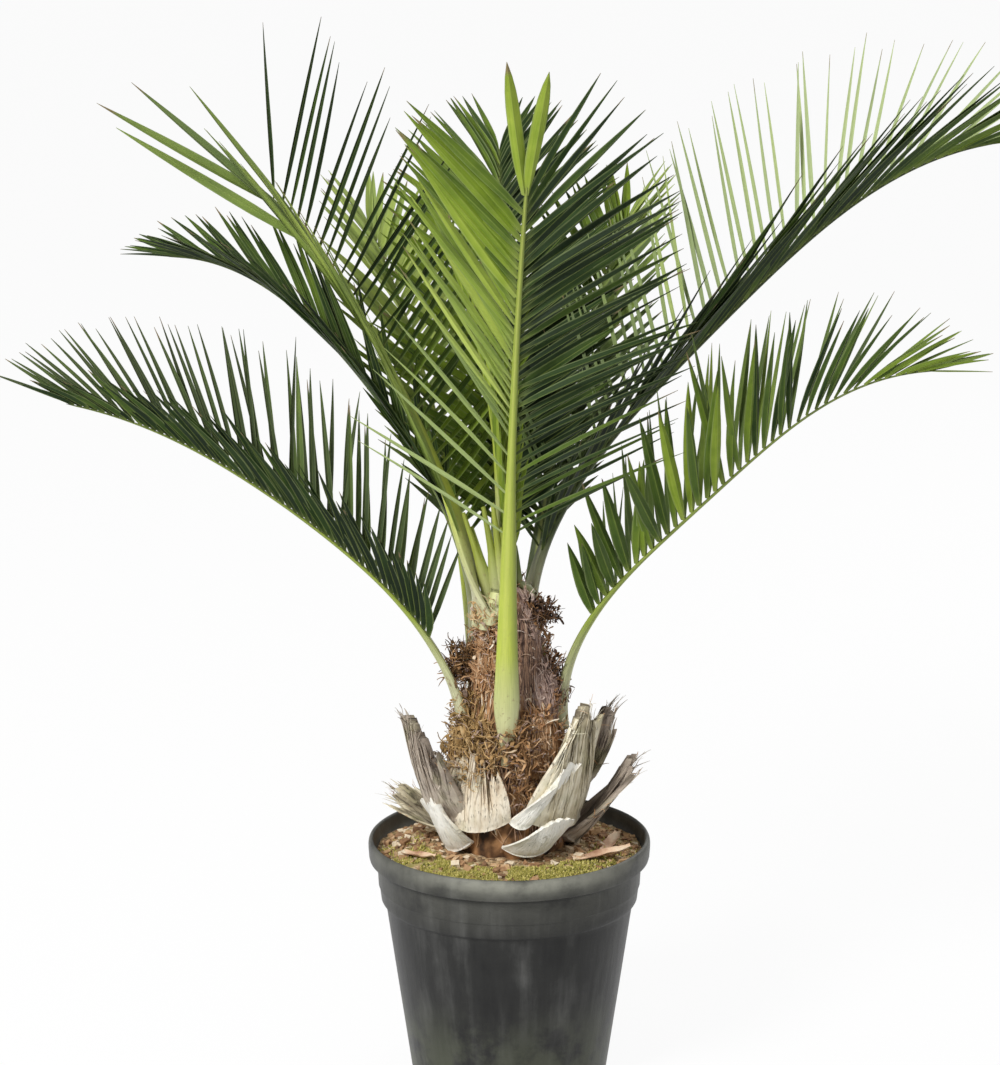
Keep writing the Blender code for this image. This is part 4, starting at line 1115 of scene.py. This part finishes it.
def chip(shape, centre, size, flat, level):
    """A small broken piece: a jittered box with its corners knocked about."""
    corners = np.array([(a, b, c) for c in (-1, 1) for a, b in ((-1, -1), (1, -1), (1, 1), (-1, 1))], float)
    corners *= np.array([size, size * between(0.35, 0.8), size * flat]) / 2
    corners *= between(0.55, 1.15, corners.shape)
    turn, tilt = between(0, 2 * np.pi), around(0, 0.35)
    c, s = math.cos(turn), math.sin(turn)
    lean = np.array([[1, 0, 0], [0, math.cos(tilt), -math.sin(tilt)], [0, math.sin(tilt), math.cos(tilt)]])
    spin = np.array([[c, -s, 0], [s, c, 0], [0, 0, 1]])
    verts = corners @ lean.T @ spin.T + centre
    faces = [(3, 2, 1, 0), (4, 5, 6, 7), (0, 1, 5, 4), (1, 2, 6, 5), (2, 3, 7, 6), (3, 0, 4, 7)]
    shape.add(verts, faces, (level, 0, 0), (chance(), 0, 0))


def build_chips():
    """Bark chips all over the mix, few of them where the moss grows."""
    shape = Shape()
    for _ in range(CHIPS_TRIED):
        turn = between(0, 360)
        radius = math.sqrt(between(0.072 ** 2, 0.1385 ** 2))
        if radius > 0.092 and abs((turn - 266 + 180) % 360 - 180) < 55 and chance() < 0.8:
            continue
        x, y, _ = polar(turn, radius, 0)
        size = between(0.0022, 0.0075) if chance() < 0.85 else between(0.007, 0.013)
        level = RNG.choice([0.2, 0.4, 0.6, 0.95], p=[0.22, 0.3, 0.3, 0.18]) + around(0, 0.06)
        chip(shape, (x, y, mix_level(x, y) + size * 0.1), size, between(0.25, 0.6), level)
    shape.build("bark_chip_litter", [CHIPS], "potting_mix", crease=20)


def build_moss():
    """Low cushions of moss in front, made of many small shoots."""
    shape = Shape()
    faces = [(2, 1, 0), (0, 1, 3), (1, 4, 3), (1, 2, 4), (2, 5, 4), (2, 0, 5), (0, 3, 5),
             (3, 4, 6), (4, 5, 6), (5, 3, 6)]
    lighter_up = np.array([-0.25] * 3 + [0.0] * 3 + [0.25])
    for _ in range(MOSS_TRIED):
        turn = around(268, 38)
        radius = between(0.09, 0.1395)
        x, y, _ = polar(turn, radius, 0)
        if noise.noise(Vector((x * 55, y * 55, 8))) < -0.22 or radius < stem_radius(0.262) + 0.02:
            continue
        base = np.array([x, y, mix_level(x, y) - 0.0004])
        way = unit(UP + around(0, 0.45, 3))
        size = between(0.0018, 0.0044)
        side = unit(np.cross(way, around(0, 1, 3)))
        over = np.cross(way, side)
        w = between(0.0005, 0.0011)
        ring = [base + (side * math.cos(t) + over * math.sin(t)) * w for t in (0, 2.1, 4.2)]
        ring += [base + way * size * 0.55 + (side * math.cos(t) + over * math.sin(t)) * w * 1.25
                 for t in (1, 3.1, 5.2)]
        level = 0.55 + around(0, 0.2)
        shape.add(ring + [base + way * size], faces, (level + lighter_up, 0, 0), (chance(), 0, 0))
    shape.build("moss_shoots", [MOSS], "moss", ["moss_mat"])


SCRAPS = {  # x, y, length, width, turn
    "leaf_scrap_long": (0.098, -0.05, 0.066, 0.015, 22),
    "leaf_scrap_right": (0.108, -0.006, 0.05, 0.013, 70),
    "leaf_scrap_left": (-0.096, -0.046, 0.046, 0.013, -44),
}


def build_scrap(name, x, y, length, width, turn):
    """A curled strip of dry leaf lying on the mix."""
    t = even(22)[:, None]
    s = np.linspace(-1, 1, 9)[None]
    along = polar(turn, 1.0, 0.0)
    side = np.array([-along[1], along[0], 0.0])
    half = width / 2 * (0.35 + 0.65 * np.sin(np.pi * (0.12 + 0.8 * t))) * (1 + 0.12 * np.sin(19 * t))
    centre = np.array([x, y, 0.0]) + along * (length * (t - 0.5))[..., None]
    points = centre + side * (half * s)[..., None]
    points[..., 2] = 0.0065 * t ** 2 + 0.0026 * s ** 2 + 0.0008 * np.sin(9 * t + 3 * s)
    ground = max(mix_level(p[0], p[1]) - p[2] for p in points.reshape(-1, 3))
    points[..., 2] += ground + 0.0006
    verts, faces = solid_sheet(points + UP * 0.0007, points)
    level = 0.55 + 0.25 * np.sin(7 * t + 2) - 0.25 * abs(s)
    shape = Shape()
    shape.add(verts, [f[::-1] for f in faces], (level, 0, 0))
    shape.build(name + "_curled", [SCRAP], "dry_leaf", [name])


# ---------------------------------------------------------------- camera, lights, floor
LAMPS = (  # name, place, size, power
    ("key", (-2.3, -2.7, 3.5), 1.5, 190.0),
    ("rim", (2.4, 2.6, 2.6), 2.5, 40.0),
)
AIM = Vector((0.0, 0.0, 0.62))
EYE = (-0.01, -3.2, 1.34)
LENS = 106.4
LOOK_DOWN = 13.16
FLOOR_HALF = 30
FLOOR_LEVEL = -0.0005


def show(name, data, place=(0, 0, 0), turn=(0, 0, 0)):
    """Put a camera, a lamp or a mesh into the scene."""
    made = bpy.data.objects.new(name, data)
    made.location = place
    made.rotation_euler = turn
    bpy.context.scene.collection.objects.link(made)
    return made


def build_stage():
    """Camera, two lamps, a plain white world and the floor."""
    scene = bpy.context.scene
    cam = bpy.data.cameras.new("camera")
    cam.sensor_width = 36.0
    cam.lens = LENS
    cam.clip_end = 200
    scene.camera = show("camera", cam, EYE, (math.radians(90 - LOOK_DOWN), 0, 0))
    for name, place, size, power in LAMPS:
        lamp = bpy.data.lights.new(name, "AREA")
        lamp.shape = "DISK"
        lamp.size = size
        lamp.energy = power
        show(name, lamp, place, (AIM - Vector(place)).to_track_quat("-Z", "Y").to_euler())

    scene.world = bpy.data.worlds.new("studio")
    sky = Paint(scene.world)
    rays = sky.node("ShaderNodeLightPath").outputs
    seen = sky.math("MAXIMUM", rays["Is Camera Ray"], rays["Is Transmission Ray"])
    level = sky.node("ShaderNodeMapRange", {"Value": seen, "To Min": 0.5, "To Max": 1.0}).outputs[0]
    back = sky.tree.nodes["Background"]
    sky.plug(back.inputs["Strength"], level)
    sky.plug(back.inputs["Color"], (1.0, 1.0, 1.0))

    p = paint("studio_floor")
    p.finish((0.86, 0.86, 0.86), 0.9)
    rays = p.node("ShaderNodeLightPath").outputs
    seen = p.math("MAXIMUM", rays["Is Camera Ray"], rays["Is Glossy Ray"])
    glow = p.node("ShaderNodeEmission", {"Color": (1.0, 1.0, 1.0), "Strength": 1.0})
    mesh = bpy.data.meshes.new("floor")
    square = ((-1, -1), (1, -1), (1, 1), (-1, 1))
    corners = [(x * FLOOR_HALF, y * FLOOR_HALF, FLOOR_LEVEL) for x, y in square]
    mesh.from_pydata(corners, [], [(0, 1, 2, 3)])
    mesh.materials.append(p.blend(p.times(seen, 0.93), glow))
    floor = show("floor", mesh)
    scene.view_settings.view_transform = "Standard"


# ---------------------------------------------------------------- assembly
build_stage()
build_pot()
build_mix()
build_chips()
build_moss()
for scrap, row in SCRAPS.items():
    build_scrap(scrap, *row)
build_trunk()
build_fronds()
build_foot_tufts()
